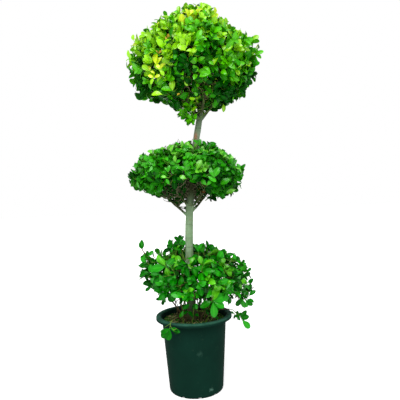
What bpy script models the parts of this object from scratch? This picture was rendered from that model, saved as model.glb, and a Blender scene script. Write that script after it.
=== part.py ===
"""Potted three-tier topiary: a small-leaved fig on one bare stem, clipped into a round head and a
flat head, over loose shoots that rise from the foot, in a green nursery pot.

Metres, +Z up. X runs to the right of the main view and Y away from it. The origin is the middle of
the pot's flat underside.
"""

import math
import random
from collections import namedtuple

import bmesh
import bpy
from mathutils import Matrix, Vector, noise
from mathutils.bvhtree import BVHTree

UP = Vector((0, 0, 1))
GOLDEN_ANGLE = math.radians(137.5)

# Clearances between separate solids
GAP = 0.0003
CLEARANCE = 0.0020

# Pot: a turned plastic shell with a wide rolled rim and drain slots round its foot
POT_HEIGHT = 0.320
POT_WALL = 0.003
POT_FLOOR = 0.004
POT_SEGMENTS = 36
FOOT_RADIUS = 0.1168
FOOT_ROUND = 0.007
SHOULDER_RADIUS = 0.1392
RIM_RADIUS = 0.165
RIM_LIP = 0.015
RIM_ROUND = 0.0045
MOUTH_RADIUS = 0.1425
MOUTH_ROUND = 0.006
DRAIN_SLOTS = 10
DRAIN_AZIMUTH = 25.5
DRAIN_WIDTH = 0.014
DRAIN_HEIGHT = 0.0030
DRAIN_INNER_RADIUS = 0.090

# Soil: fills the pot to a little below the rim, level round the stems and raised at the wall
SOIL_TOP = 0.298
SOIL_LEVEL_RADIUS = 0.100
SOIL_RISE = 0.004
SOIL_WALL_GAP = 0.0005

# Trunk: drawn through the places that it passes, with its radius at each
TRUNK_FOOT = SOIL_TOP + GAP
TRUNK_LINE = [
    (-0.0088, 0.000, TRUNK_FOOT, 0.0202),
    (-0.0092, 0.002, 0.420, 0.0190),
    (-0.0095, 0.003, 0.600, 0.0182),
    (-0.0032, 0.001, 0.740, 0.0168),
    (0.0050, -0.002, 0.830, 0.0156),
    (0.0205, -0.003, 0.950, 0.0150),
    (0.0382, 0.000, 1.068, 0.0144),
    (0.0480, 0.001, 1.120, 0.0142),
    (0.0595, 0.002, 1.180, 0.0131),
    (0.0610, 0.003, 1.215, 0.0116),
]
TRUNK_SIDES = 12
TRUNK_RINGS_PER_SPAN = 3
FLARE_SHARE = 0.75
FLARE_HEIGHT = 0.022
FLARE_LOBES = 5

# Heads: the clipped outline of each, as the distance from its heart to its edge. Each row is the
# climb above level in degrees, then the distance on the left, on the right, and to the front or back.
Head = namedtuple("Head", "heart outline core leaf")
TOP_HEAD = Head(
    heart=Vector((0.050, 0.0, 1.415)),
    outline=[
        (-90, 0.245, 0.245, 0.245),
        (-75, 0.258, 0.232, 0.236),
        (-60, 0.226, 0.228, 0.226),
        (-48, 0.222, 0.246, 0.234),
        (-41, 0.214, 0.256, 0.240),
        (-36, 0.254, 0.272, 0.246),
        (-30, 0.306, 0.262, 0.252),
        (-18, 0.310, 0.273, 0.262),
        (-6, 0.312, 0.279, 0.266),
        (0, 0.303, 0.292, 0.266),
        (6, 0.286, 0.312, 0.264),
        (18, 0.298, 0.312, 0.254),
        (23, 0.302, 0.250, 0.250),
        (30, 0.266, 0.214, 0.244),
        (40, 0.234, 0.213, 0.236),
        (50, 0.222, 0.212, 0.236),
        (66, 0.258, 0.244, 0.246),
        (80, 0.256, 0.258, 0.254),
        (90, 0.251, 0.251, 0.251),
    ],
    core=0.70,
    leaf=0.082,
)
MIDDLE_HEAD = Head(
    heart=Vector((-0.006, 0.0, 0.935)),
    outline=[
        (-90, 0.110, 0.112, 0.110),
        (-54, 0.138, 0.156, 0.140),
        (-42, 0.164, 0.198, 0.168),
        (-36, 0.172, 0.212, 0.184),
        (-30, 0.190, 0.226, 0.202),
        (-24, 0.204, 0.234, 0.216),
        (-18, 0.230, 0.248, 0.230),
        (-12, 0.258, 0.252, 0.242),
        (-6, 0.264, 0.256, 0.250),
        (0, 0.258, 0.268, 0.252),
        (6, 0.248, 0.262, 0.246),
        (12, 0.238, 0.241, 0.234),
        (22, 0.219, 0.212, 0.210),
        (30, 0.188, 0.192, 0.188),
        (36, 0.168, 0.188, 0.176),
        (42, 0.158, 0.188, 0.168),
        (50, 0.153, 0.176, 0.160),
        (60, 0.152, 0.157, 0.153),
        (83, 0.143, 0.142, 0.143),
        (90, 0.142, 0.142, 0.142),
    ],
    core=0.70,
    leaf=0.070,
)
LUMP_SHARE = 0.06
LUMP_FREQUENCY = 2.6
CORE_SEGMENTS = 18
CORE_RINGS = 5
CORE_LOWEST = math.radians(-14)
UNDERSIDE_DROP = 0.055
UNDERSIDE_DISH = 0.075
CORE_TRUNK_CLEARANCE = 0.008

# Leaves stand for several real ones, so they are larger than life
LEAF_WIDTH_SHARE = 0.56
LEAF_WIDEST = 0.60
LEAF_THICKNESS_SHARE = 0.026
LEAF_FOLD = 0.06
LEAF_DROOP = 0.05
LEAF_SUNK = 0.0010
LEAF_TRIES = 7
SHOOT_LEAF = 0.070
TWIG_RADIUS = 0.0034
TWIG_TIP_RADIUS = 0.0026

# Boughs: azimuth and height where each leaves the trunk, then the distance of its tip from its
# head's upright axis
Fork = namedtuple("Fork", "azimuth height tip_radius")
TOP_FORKS = [
    Fork(4, 1.160, 0.135),
    Fork(148, 1.180, 0.120),
    Fork(292, 1.172, 0.125),
    Fork(76, 1.176, 0.115),
    Fork(220, 1.164, 0.130),
]
MIDDLE_FORKS = [
    Fork(182, 0.742, 0.135),
    Fork(12, 0.757, 0.120),
    Fork(319, 0.771, 0.130),
    Fork(97, 0.765, 0.125),
    Fork(234, 0.779, 0.120),
    Fork(149, 0.789, 0.130),
]
TOP_BOUGH_RADII = (0.0068, 0.0048)
MIDDLE_BOUGH_RADII = (0.0052, 0.0038)
LEADER_TIP_RADIUS = 0.0075
BOUGH_SIDES = 6
BOUGH_RINGS = 5
COLLAR_SWELL = 1.35
CORE_STUB = 0.055

# Shoots: name, azimuth and radius where the shoot leaves the soil, then the azimuth, radius and height
# of the middle of its leaves, and how far the leaves reach from that middle
Shoot = namedtuple("Shoot", "name foot_azimuth foot_radius azimuth radius height reach")
SHOOTS = [
    Shoot("left", 175, 0.055, 182, 0.158, 0.490, 0.110),
    Shoot("upper_left", 120, 0.042, 158, 0.068, 0.570, 0.095),
    Shoot("upper_right", 20, 0.038, 0, 0.082, 0.535, 0.095),
    Shoot("right", 0, 0.070, 1, 0.180, 0.450, 0.110),
    Shoot("front_right", 300, 0.060, 298, 0.165, 0.415, 0.100),
    Shoot("front_left", 235, 0.055, 243, 0.155, 0.470, 0.105),
    Shoot("back_left", 140, 0.068, 119, 0.160, 0.475, 0.105),
    Shoot("back_right", 50, 0.060, 57, 0.165, 0.480, 0.105),
]
SHOOT_RADIUS = 0.0055
SHOOT_TIP_RADIUS = 0.0034
# Trailing shoots lean over the rim and hang outside it
TRAILERS = [
    Shoot("over_rim_right", 8, 0.085, 0, 0.206, 0.306, 0.054),
    Shoot("over_rim_front", 262, 0.060, 238, 0.182, 0.288, 0.050),
]
TRAILER_RADIUS = 0.0034
TRAILER_TIP_RADIUS = 0.0026
RIM_CROSSING_HEIGHT = 0.012

Limb = namedtuple("Limb", "points tangents radii")


def clear_scene():
    for thing in list(bpy.data.objects):
        bpy.data.objects.remove(thing)


def material(name, colour, roughness):
    """A plain Principled surface, with its colour as linear red, green and blue."""
    made = bpy.data.materials.new(name)
    made.use_nodes = True
    shader = made.node_tree.nodes["Principled BSDF"]
    shader.inputs["Base Color"].default_value = (*colour, 1)
    shader.inputs["Roughness"].default_value = roughness
    shader.inputs["Metallic"].default_value = 0
    made.diffuse_color = (*colour, 1)
    return made


def add_object(name, vertices, faces, surface=None, collection=None):
    mesh = bpy.data.meshes.new(name)
    mesh.from_pydata([tuple(v) for v in vertices], [], faces)
    mesh.update()
    thing = bpy.data.objects.new(name, mesh)
    (collection or bpy.context.scene.collection).objects.link(thing)
    if surface:
        mesh.materials.append(surface)
    return thing


def turned(name, profile, segments, surface):
    """A profile of (radius, height) points, spun once round the Z axis and closed where it meets it."""
    shape = bmesh.new()
    points = [shape.verts.new((radius, 0, height)) for radius, height in profile]
    edges = [shape.edges.new(pair) for pair in zip(points, points[1:])]
    bmesh.ops.spin(
        shape,
        geom=points + edges,
        cent=(0, 0, 0),
        axis=UP,
        angle=math.tau,
        steps=segments,
        use_merge=True,
        use_duplicate=False,
    )
    bmesh.ops.remove_doubles(shape, verts=shape.verts, dist=0.00005)
    bmesh.ops.recalc_face_normals(shape, faces=shape.faces)
    mesh = bpy.data.meshes.new(name)
    shape.to_mesh(mesh)
    shape.free()
    mesh.materials.append(surface)
    mesh.shade_smooth()
    mesh.set_sharp_from_angle(angle=math.radians(35))
    thing = bpy.data.objects.new(name, mesh)
    bpy.context.scene.collection.objects.link(thing)
    return thing


def apply_boolean(thing, operation, solver, other=None, collection=None):
    """Joins or cuts with one object or a whole collection, and applies it."""
    modifier = thing.modifiers.new("Boolean", "BOOLEAN")
    modifier.operation = operation
    modifier.solver = solver
    if collection:
        modifier.operand_type = "COLLECTION"
        modifier.collection = collection
    else:
        modifier.object = other
    graph = bpy.context.evaluated_depsgraph_get()
    mesh = bpy.data.meshes.new_from_object(thing.evaluated_get(graph))
    thing.modifiers.clear()
    thing.data = mesh


def keep_main_body(thing):
    """Drops loose scraps and fills sealed hollows: only the largest closed shell stays."""
    shape = bmesh.new()
    shape.from_mesh(thing.data)
    waiting = set(shape.verts)
    shells = []
    while waiting:
        front = [waiting.pop()]
        shell = set(front)
        while front:
            vertex = front.pop()
            for edge in vertex.link_edges:
                other = edge.other_vert(vertex)
                if other in waiting:
                    waiting.discard(other)
                    shell.add(other)
                    front.append(other)
        shells.append(shell)
    largest = max(shells, key=len)
    extra = [vertex for shell in shells if shell is not largest for vertex in shell]
    bmesh.ops.delete(shape, geom=extra, context="VERTS")
    shape.to_mesh(thing.data)
    shape.free()


def arc(centre, radius, from_degrees, to_degrees, steps):
    """Points of (radius, height) along part of a circle, for a turned profile."""
    angles = [
        math.radians(from_degrees + (to_degrees - from_degrees) * k / steps)
        for k in range(steps + 1)
    ]
    return [
        (centre[0] + radius * math.cos(a), centre[1] + radius * math.sin(a))
        for a in angles
    ]


def make_pot(surface):
    foot_inner = FOOT_RADIUS - FOOT_ROUND
    shoulder = POT_HEIGHT - 0.016
    wall_inside = SHOULDER_RADIUS - POT_WALL
    lip_inside = RIM_RADIUS - POT_WALL
    profile = [(0, 0)]
    profile += arc((foot_inner, FOOT_ROUND), FOOT_ROUND, -90, 0, 3)
    profile += [(SHOULDER_RADIUS, shoulder), (MOUTH_RADIUS + 0.004, POT_HEIGHT - 0.008)]
    profile += [(lip_inside, POT_HEIGHT - 0.005)]
    profile += [(lip_inside, POT_HEIGHT - RIM_LIP), (RIM_RADIUS, POT_HEIGHT - RIM_LIP)]
    profile += arc(
        (RIM_RADIUS - RIM_ROUND, POT_HEIGHT - RIM_ROUND), RIM_ROUND, 0, 90, 3
    )
    mouth_middle = (MOUTH_RADIUS + MOUTH_ROUND, POT_HEIGHT - MOUTH_ROUND)
    profile += arc(mouth_middle, MOUTH_ROUND, 90, 180, 2)
    profile += [(wall_inside, shoulder)]
    profile += [(FOOT_RADIUS - POT_WALL - 0.0005, POT_FLOOR), (0, POT_FLOOR)]
    pot = turned("pot", profile, POT_SEGMENTS, surface)
    slots = bpy.data.collections.new("drain_slots")
    slot_length = FOOT_RADIUS + 0.02 - DRAIN_INNER_RADIUS
    for k in range(DRAIN_SLOTS):
        turn = Matrix.Rotation(math.radians(DRAIN_AZIMUTH) + math.tau * k / DRAIN_SLOTS, 4, "Z")
        middle = Vector((DRAIN_INNER_RADIUS + slot_length / 2, 0, 0))
        size = Vector((slot_length, DRAIN_WIDTH, DRAIN_HEIGHT * 2))
        shape = bmesh.new()
        bmesh.ops.create_cube(shape, size=1)
        bmesh.ops.scale(shape, vec=size, verts=shape.verts)
        bmesh.ops.translate(shape, vec=middle, verts=shape.verts)
        bmesh.ops.transform(shape, matrix=turn, verts=shape.verts)
        mesh = bpy.data.meshes.new("drain_slot")
        shape.to_mesh(mesh)
        shape.free()
        slots.objects.link(bpy.data.objects.new("drain_slot", mesh))
    bpy.context.scene.collection.children.link(slots)
    apply_boolean(pot, "DIFFERENCE", "EXACT", collection=slots)
    remove_collection(slots)
    return pot


def remove_collection(collection):
    for thing in list(collection.objects):
        bpy.data.objects.remove(thing)
    bpy.data.collections.remove(collection)


def pot_inner_radius(height):
    """The radius of the pot's inner wall at a height."""
    low = FOOT_RADIUS - POT_WALL - 0.0005
    high = SHOULDER_RADIUS - POT_WALL
    share = (height - POT_FLOOR) / (POT_HEIGHT - 0.016 - POT_FLOOR)
    return low + (high - low) * share


def make_soil(surface):
    bottom = POT_FLOOR + GAP
    edge_top = SOIL_TOP + SOIL_RISE
    profile = [
        (0, bottom),
        (pot_inner_radius(bottom) - SOIL_WALL_GAP, bottom),
        (pot_inner_radius(edge_top) - SOIL_WALL_GAP - 0.0005, edge_top),
        ((pot_inner_radius(edge_top) + SOIL_LEVEL_RADIUS) / 2, edge_top + 0.001),
        (SOIL_LEVEL_RADIUS, SOIL_TOP),
        (0, SOIL_TOP),
    ]
    return turned("soil", profile, POT_SEGMENTS, surface)


def catmull_rom(line, steps):
    """Smooth points through the line, which may hold radii as a last number: (points, extra numbers)."""
    rows = [tuple(line[0]), *map(tuple, line), tuple(line[-1])]
    made = []
    for a, b, c, d in zip(rows, rows[1:], rows[2:], rows[3:]):
        for k in range(steps):
            t = k / steps
            made.append(
                [
                    0.5
                    * (
                        2 * q
                        + (r - p) * t
                        + (2 * p - 5 * q + 4 * r - s) * t * t
                        + (3 * q - p - 3 * r + s) * t**3
                    )
                    for p, q, r, s in zip(a, b, c, d)
                ]
            )
    made.append(list(line[-1]))
    return made


def bezier(start, leave, end, arrive, steps, pull=0.38):
    """Points and tangents of a curve from start, where it runs along leave, to end, along arrive."""
    reach = (end - start).length * pull
    near = start + leave.normalized() * reach
    far = end - arrive.normalized() * reach
    points, tangents = [], []
    for k in range(steps + 1):
        t = k / steps
        u = 1 - t
        points.append(
            start * u**3 + near * 3 * u * u * t + far * 3 * u * t * t + end * t**3
        )
        slope = (near - start) * u * u + (far - near) * 2 * u * t + (end - far) * t * t
        tangents.append(slope.normalized())
    return points, tangents


def tapering(start, end, count):
    return [start + (end - start) * k / (count - 1) for k in range(count)]


def tube(limb, sides, swell=0.0):
    """Vertices and faces of a closed tapering tube, with one ring of corners at each point."""
    vertices, faces = [], []
    across = limb.tangents[0].orthogonal().normalized()
    for centre, along, radius in zip(*limb):
        across = (across - along * across.dot(along)).normalized()
        beside = along.cross(across)
        for k in range(sides):
            angle = math.tau * k / sides
            spoke = across * math.cos(angle) + beside * math.sin(angle)
            vertices.append(centre + spoke * (radius + swell))
    for ring in range(len(limb.points) - 1):
        low, high = ring * sides, (ring + 1) * sides
        for k in range(sides):
            after = (k + 1) % sides
            faces.append((low + k, low + after, high + after, high + k))
    faces.append(tuple(reversed(range(sides))))
    faces.append(tuple(range(len(vertices) - sides, len(vertices))))
    return vertices, faces


def straight(start, end, start_radius, end_radius):
    along = (end - start).normalized()
    return Limb([start, end], [along, along], [start_radius, end_radius])


def leaf(base, along, upper, length, swell=0.0):
    """Six corners and eight faces: a thin obovate blade, folded along its middle and drooping at its tip.

    along points from base to tip, and upper is the way that the blade's upper side faces.
    """
    along = along.normalized()
    upper = (upper - along * upper.dot(along)).normalized()
    beside = upper.cross(along)
    half = length * LEAF_WIDTH_SHARE / 2 + swell
    thick = length * LEAF_THICKNESS_SHARE / 2 + swell
    widest = base + along * (length * LEAF_WIDEST) + upper * (length * LEAF_FOLD)
    tip = base + along * (length + swell) - upper * (length * LEAF_DROOP)
    middle = base + along * (length * 0.5)
    corners = [
        base,
        widest + beside * half,
        tip,
        widest - beside * half,
        middle + upper * thick,
        middle - upper * thick,
    ]
    faces = []
    for k in range(4):
        after = (k + 1) % 4
        faces.append((after, k, 4))
        faces.append((k, after, 5))
    return corners, faces


def tree_of(vertices, faces):
    return BVHTree.FromPolygons([tuple(v) for v in vertices], faces)


def tree_of_object(thing):
    graph = bpy.context.evaluated_depsgraph_get()
    return BVHTree.FromObject(thing, graph)


def way_of(azimuth_degrees, climb_degrees):
    """The unit direction at an azimuth from +X and a climb above level."""
    azimuth, climb = math.radians(azimuth_degrees), math.radians(climb_degrees)
    return Vector(
        (
            math.cos(climb) * math.cos(azimuth),
            math.cos(climb) * math.sin(azimuth),
            math.sin(climb),
        )
    )


def at(azimuth_degrees, radius, height):
    flat = way_of(azimuth_degrees, 0) * radius
    return Vector((flat.x, flat.y, height))


def reach(head, way):
    """How far a head's clipped outline lies from its heart along a unit direction."""
    climb = math.degrees(math.asin(max(-1.0, min(1.0, way.z))))
    flat = math.hypot(way.x, way.y)
    across = way.x / flat if flat > 1e-6 else 0
    rows = head.outline
    for low, high in zip(rows, rows[1:]):
        if climb <= high[0]:
            break
    share = (climb - low[0]) / (high[0] - low[0])
    left, right, depth = (a + (b - a) * share for a, b in zip(low[1:], high[1:]))
    side = right if across > 0 else left
    lump = noise.noise(way * LUMP_FREQUENCY + head.heart * 10)
    return (depth + (side - depth) * across**4) * (1 + LUMP_SHARE * lump)


def trunk_limb():
    rows = catmull_rom(TRUNK_LINE, TRUNK_RINGS_PER_SPAN)
    points = [Vector(row[:3]) for row in rows]
    radii = [row[3] for row in rows]
    tangents = [UP]
    tangents += [(b - a).normalized() for a, b in zip(points, points[2:])]
    tangents.append((points[-1] - points[-2]).normalized())
    return Limb(points, tangents, radii)


def trunk_at(limb, height):
    """The trunk's middle and radius at a height."""
    for a, b, r, s in zip(limb.points, limb.points[1:], limb.radii, limb.radii[1:]):
        if a.z <= height <= b.z:
            share = (height - a.z) / (b.z - a.z)
            return a.lerp(b, share), r + (s - r) * share
    return limb.points[-1], limb.radii[-1]


def flared(vertices, limb):
    """The trunk's corners, swollen into root lobes near the soil."""
    made = []
    for vertex in vertices:
        middle, _ = trunk_at(limb, vertex.z)
        out = Vector((vertex.x - middle.x, vertex.y - middle.y, 0))
        lobes = 0.8 + 0.2 * math.cos(FLARE_LOBES * math.atan2(out.y, out.x))
        share = FLARE_SHARE * lobes * math.exp(-(vertex.z - TRUNK_FOOT) / FLARE_HEIGHT)
        made.append(vertex + out * share)
    return made


def collar(limb, height, way, radius):
    """The stub on the trunk that a bough grows from, and the middle of its flat end."""
    middle, trunk_radius = trunk_at(limb, height)
    flat = math.hypot(way.x, way.y)
    length = (trunk_radius + radius * way.z + 0.004) / flat
    end = middle + way * length
    return straight(middle, end, radius * COLLAR_SWELL, radius), end


def core_edge(head):
    """The radius of the rim of a head's core."""
    return reach(head, way_of(90, math.degrees(CORE_LOWEST))) * head.core


def underside(head, radius):
    """The height of the hollow underside of a head's core, at a distance from its middle."""
    dish = UNDERSIDE_DISH * head.core * (1 - (radius / core_edge(head)) ** 2)
    return head.heart.z - UNDERSIDE_DROP * head.core + max(0.0, dish)


def make_core(head, name, surface):
    """A lumpy cap with a hollow underside, round the head's upright axis."""
    edge = core_edge(head)
    profile = []
    for k in range(4):
        radius = edge * k / 4
        profile.append((radius, underside(head, radius) - head.heart.z))
    for k in range(CORE_RINGS + 1):
        climb = CORE_LOWEST + (math.pi / 2 - CORE_LOWEST) * k / CORE_RINGS
        far = reach(head, way_of(90, math.degrees(climb))) * head.core
        radius = far * math.cos(climb) if k < CORE_RINGS else 0
        profile.append((radius, far * math.sin(climb)))
    core = turned(name, profile, CORE_SEGMENTS, surface)
    for vertex in core.data.vertices:
        place = vertex.co.copy()
        lump = noise.noise(place.normalized() * LUMP_FREQUENCY * 2 + head.heart * 10)
        vertex.co = place * (1 + 0.07 * lump) + head.heart
    return core


def even_ways(count, lowest, head):
    """Unit directions spread evenly over a head, from its top down to a lowest share of its drop."""
    spread = reach(head, way_of(90, 0))
    rise, drop = reach(head, UP), reach(head, -UP)
    ways = []
    for k in range(count):
        height = 1 - (1 - lowest) * (k + 0.5) / count
        ring = math.sqrt(1 - height * height)
        flat = way_of(math.degrees(k * GOLDEN_ANGLE), 0) * spread * ring
        way = flat + UP * height * (rise if height > 0 else drop)
        ways.append(way.normalized())
    return ways


def around(way, turn):
    """A unit direction square to way, at a turn round it."""
    across = way.orthogonal().normalized()
    beside = way.cross(across)
    return across * math.cos(turn) + beside * math.sin(turn)


class Mass:
    """One mass of leaves: a body, and the twigs and leaves that are joined to it if they are clear."""

    def __init__(self, name, surface, keep_out, inside):
        self.name = name
        self.surface = surface
        self.keep_out = keep_out
        self.inside = inside
        self.core = None
        self.pieces = bpy.data.collections.new(name + "_pieces")
        bpy.context.scene.collection.children.link(self.pieces)
        self.leaves = []
        self.twigs = []
        self.twig_trees = []

    def clear(self, vertices, faces):
        """Whether a piece, drawn a little swollen, keeps to the mass's own space and off every neighbour."""
        if not all(self.inside(vertex) for vertex in vertices):
            return False
        piece = tree_of(vertices, faces)
        return not any(piece.overlap(tree) for tree in self.keep_out)

    def add(self, vertices, faces):
        return add_object("piece", vertices, faces, None, self.pieces)

    def twig(self, limb, sides=3, root_free=0.0):
        """Adds a twig unless it would touch something. The first root_free of its length isn't tested."""
        tested = limb
        if root_free:
            start = limb.points[0] + limb.tangents[0] * root_free
            tested = Limb([start, *limb.points[1:]], limb.tangents, limb.radii)
        if not self.clear(*tube(tested, sides, CLEARANCE)):
            return False
        self.add(*tube(limb, sides))
        self.twigs.append(limb)
        self.twig_trees.append(tree_of(*tube(limb, sides)))
        return True

    def leaf(self, root, way, facing, length):
        """Adds a leaf rooted inside its twig, unless it would touch something."""
        way = way.normalized()
        base = root - way * LEAF_SUNK
        swollen = leaf(root + way * 0.004, way, facing, length - LEAF_SUNK, 0.0006)
        if not self.clear(*leaf(root, way, facing, length, CLEARANCE)):
            return False
        tree = tree_of(*swollen)
        middle = root + way * length / 2
        for other, other_middle in self.leaves:
            if (middle - other_middle).length < length * 1.1 and tree.overlap(other):
                return False
        if any(tree.overlap(other) for other in self.twig_trees[:-1]):
            return False
        if self.core and tree.overlap(self.core):
            return False
        self.add(*leaf(base, way, facing, length))
        self.leaves.append((tree, middle))
        return True

    def rosette(self, limb, count, length, pitch_degrees, chance, first_turn):
        """Leaves set round the outer part of a twig by the golden angle, each facing the twig's tip."""
        added = 0
        for k in range(count):
            share = 1 - 0.5 * k / max(1, count - 1)
            root = limb.points[-2].lerp(limb.points[-1], share)
            root -= limb.tangents[-1] * 0.002
            along = limb.tangents[-1]
            for attempt in range(LEAF_TRIES):
                turn = first_turn + k * GOLDEN_ANGLE + attempt * 0.55
                pitch = math.radians(pitch_degrees + chance.uniform(-12, 12))
                side = around(along, turn)
                way = along * math.cos(pitch) + side * math.sin(pitch)
                facing = along * math.sin(pitch) - side * math.cos(pitch)
                size = length * chance.uniform(0.85, 1.1)
                if self.leaf(root, way, facing, size):
                    added += 1
                    break
        return added

    def finish(self, body):
        """Joins every piece to the body by one Boolean union."""
        body.name = self.name
        apply_boolean(body, "UNION", "MANIFOLD", collection=self.pieces)
        remove_collection(self.pieces)
        keep_main_body(body)
        body.data.materials.clear()
        body.data.materials.append(self.surface)
        print(
            self.name, len(self.leaves), "leaves", len(self.twigs), "twigs",
            sum(len(p.vertices) - 2 for p in body.data.polygons), "triangles",
        )
        return body


def make_head(head, name, sprays, lowest, tips, keep_out, surface, seed, trunk):
    """A clipped head: a core on stubs over its boughs' tips, with leafy twigs that stand out of it."""
    chance = random.Random(seed)

    def inside(place):
        out = place - head.heart
        return out.length <= reach(head, out.normalized()) * 1.02

    mass = Mass(name, surface, keep_out, inside)
    core = make_core(head, name, surface)
    clear_of_trunk = Limb(
        trunk.points, trunk.tangents, [r + CORE_TRUNK_CLEARANCE for r in trunk.radii]
    )
    cutter = add_object("trunk_cutter", *tube(clear_of_trunk, TRUNK_SIDES))
    apply_boolean(core, "DIFFERENCE", "EXACT", other=cutter)
    bpy.data.objects.remove(cutter)
    mass.core = tree_of_object(core)
    for tip, arrive, radius in tips:
        start = tip + arrive * GAP
        stub = straight(start, start + arrive * CORE_STUB, radius, radius)
        mass.add(*tube(stub, BOUGH_SIDES))
    for way in even_ways(sprays, lowest, head):
        way = (way + Vector([chance.uniform(-0.10, 0.10) for _ in range(3)])).normalized()
        end = head.heart + way * (reach(head, way) - head.leaf * 0.56)
        root = head.heart + way * reach(head, way) * (head.core - 0.14)
        azimuth = math.degrees(math.atan2(way.y, way.x))
        flat = math.hypot(end.x - head.heart.x, end.y - head.heart.y)
        edge = core_edge(head)
        if way.z < math.sin(CORE_LOWEST * 0.4):
            radius = max(0.50 * edge, min(0.84 * edge, flat * 0.9))
            place = at(azimuth, radius, underside(head, radius) + 0.010)
            root = place + Vector((head.heart.x, head.heart.y, 0))
        twig = straight(root, end, TWIG_RADIUS, TWIG_TIP_RADIUS)
        if mass.twig(twig):
            mass.rosette(twig, 4, head.leaf, 56, chance, chance.uniform(0, math.tau))
    return mass.finish(core)


def make_loose_mass(name, limb_tip, arrive, centre, span, leaf_length, twigs, mass_tools, chance):
    """A loose spray: one stem from its shoot's tip, side twigs by the golden angle, and leaves on each."""
    surface, keep_out, inside = mass_tools
    mass = Mass(name, surface, keep_out, inside)
    start = limb_tip + arrive * GAP
    out = (centre - start).normalized()
    end = centre + out * span * 0.45
    points, tangents = bezier(start, arrive, end, (out + UP * 0.4).normalized(), 4)
    stem = Limb(points, tangents, tapering(SHOOT_TIP_RADIUS, TWIG_TIP_RADIUS, 5))
    body = add_object(name, *tube(stem, 5))
    mass.rosette(stem, 4, leaf_length, 50, chance, chance.uniform(0, math.tau))
    for k in range(twigs):
        share = 0.22 + 0.70 * k / max(1, twigs - 1)
        place = share * 4
        low = min(3, int(place))
        root = points[low].lerp(points[low + 1], place - low)
        along = tangents[low]
        for attempt in range(4):
            side = around(along, k * GOLDEN_ANGLE + attempt * 0.8)
            way = (along * 0.62 + side + UP * 0.12).normalized()
            length = span * chance.uniform(0.55, 0.75)
            twig = straight(root, root + way * length, TWIG_RADIUS * 0.85, TWIG_TIP_RADIUS)
            if mass.twig(twig, root_free=0.012):
                mass.rosette(twig, 3, leaf_length, 46, chance, chance.uniform(0, math.tau))
                break
    return mass.finish(body)


def own_space(index, centres, spans):
    """Tests that a place is nearer this mass's centre than any other's, and within reach of it."""
    centre = centres[index]
    walls = []
    for k, other in enumerate(centres):
        if k != index:
            across = (other - centre).normalized()
            walls.append(((other + centre) / 2 - across * CLEARANCE / 2, across))

    def inside(place):
        if (place - centre).length > spans[index] * 1.15:
            return False
        return all((place - middle).dot(across) < 0 for middle, across in walls)

    return inside


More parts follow.
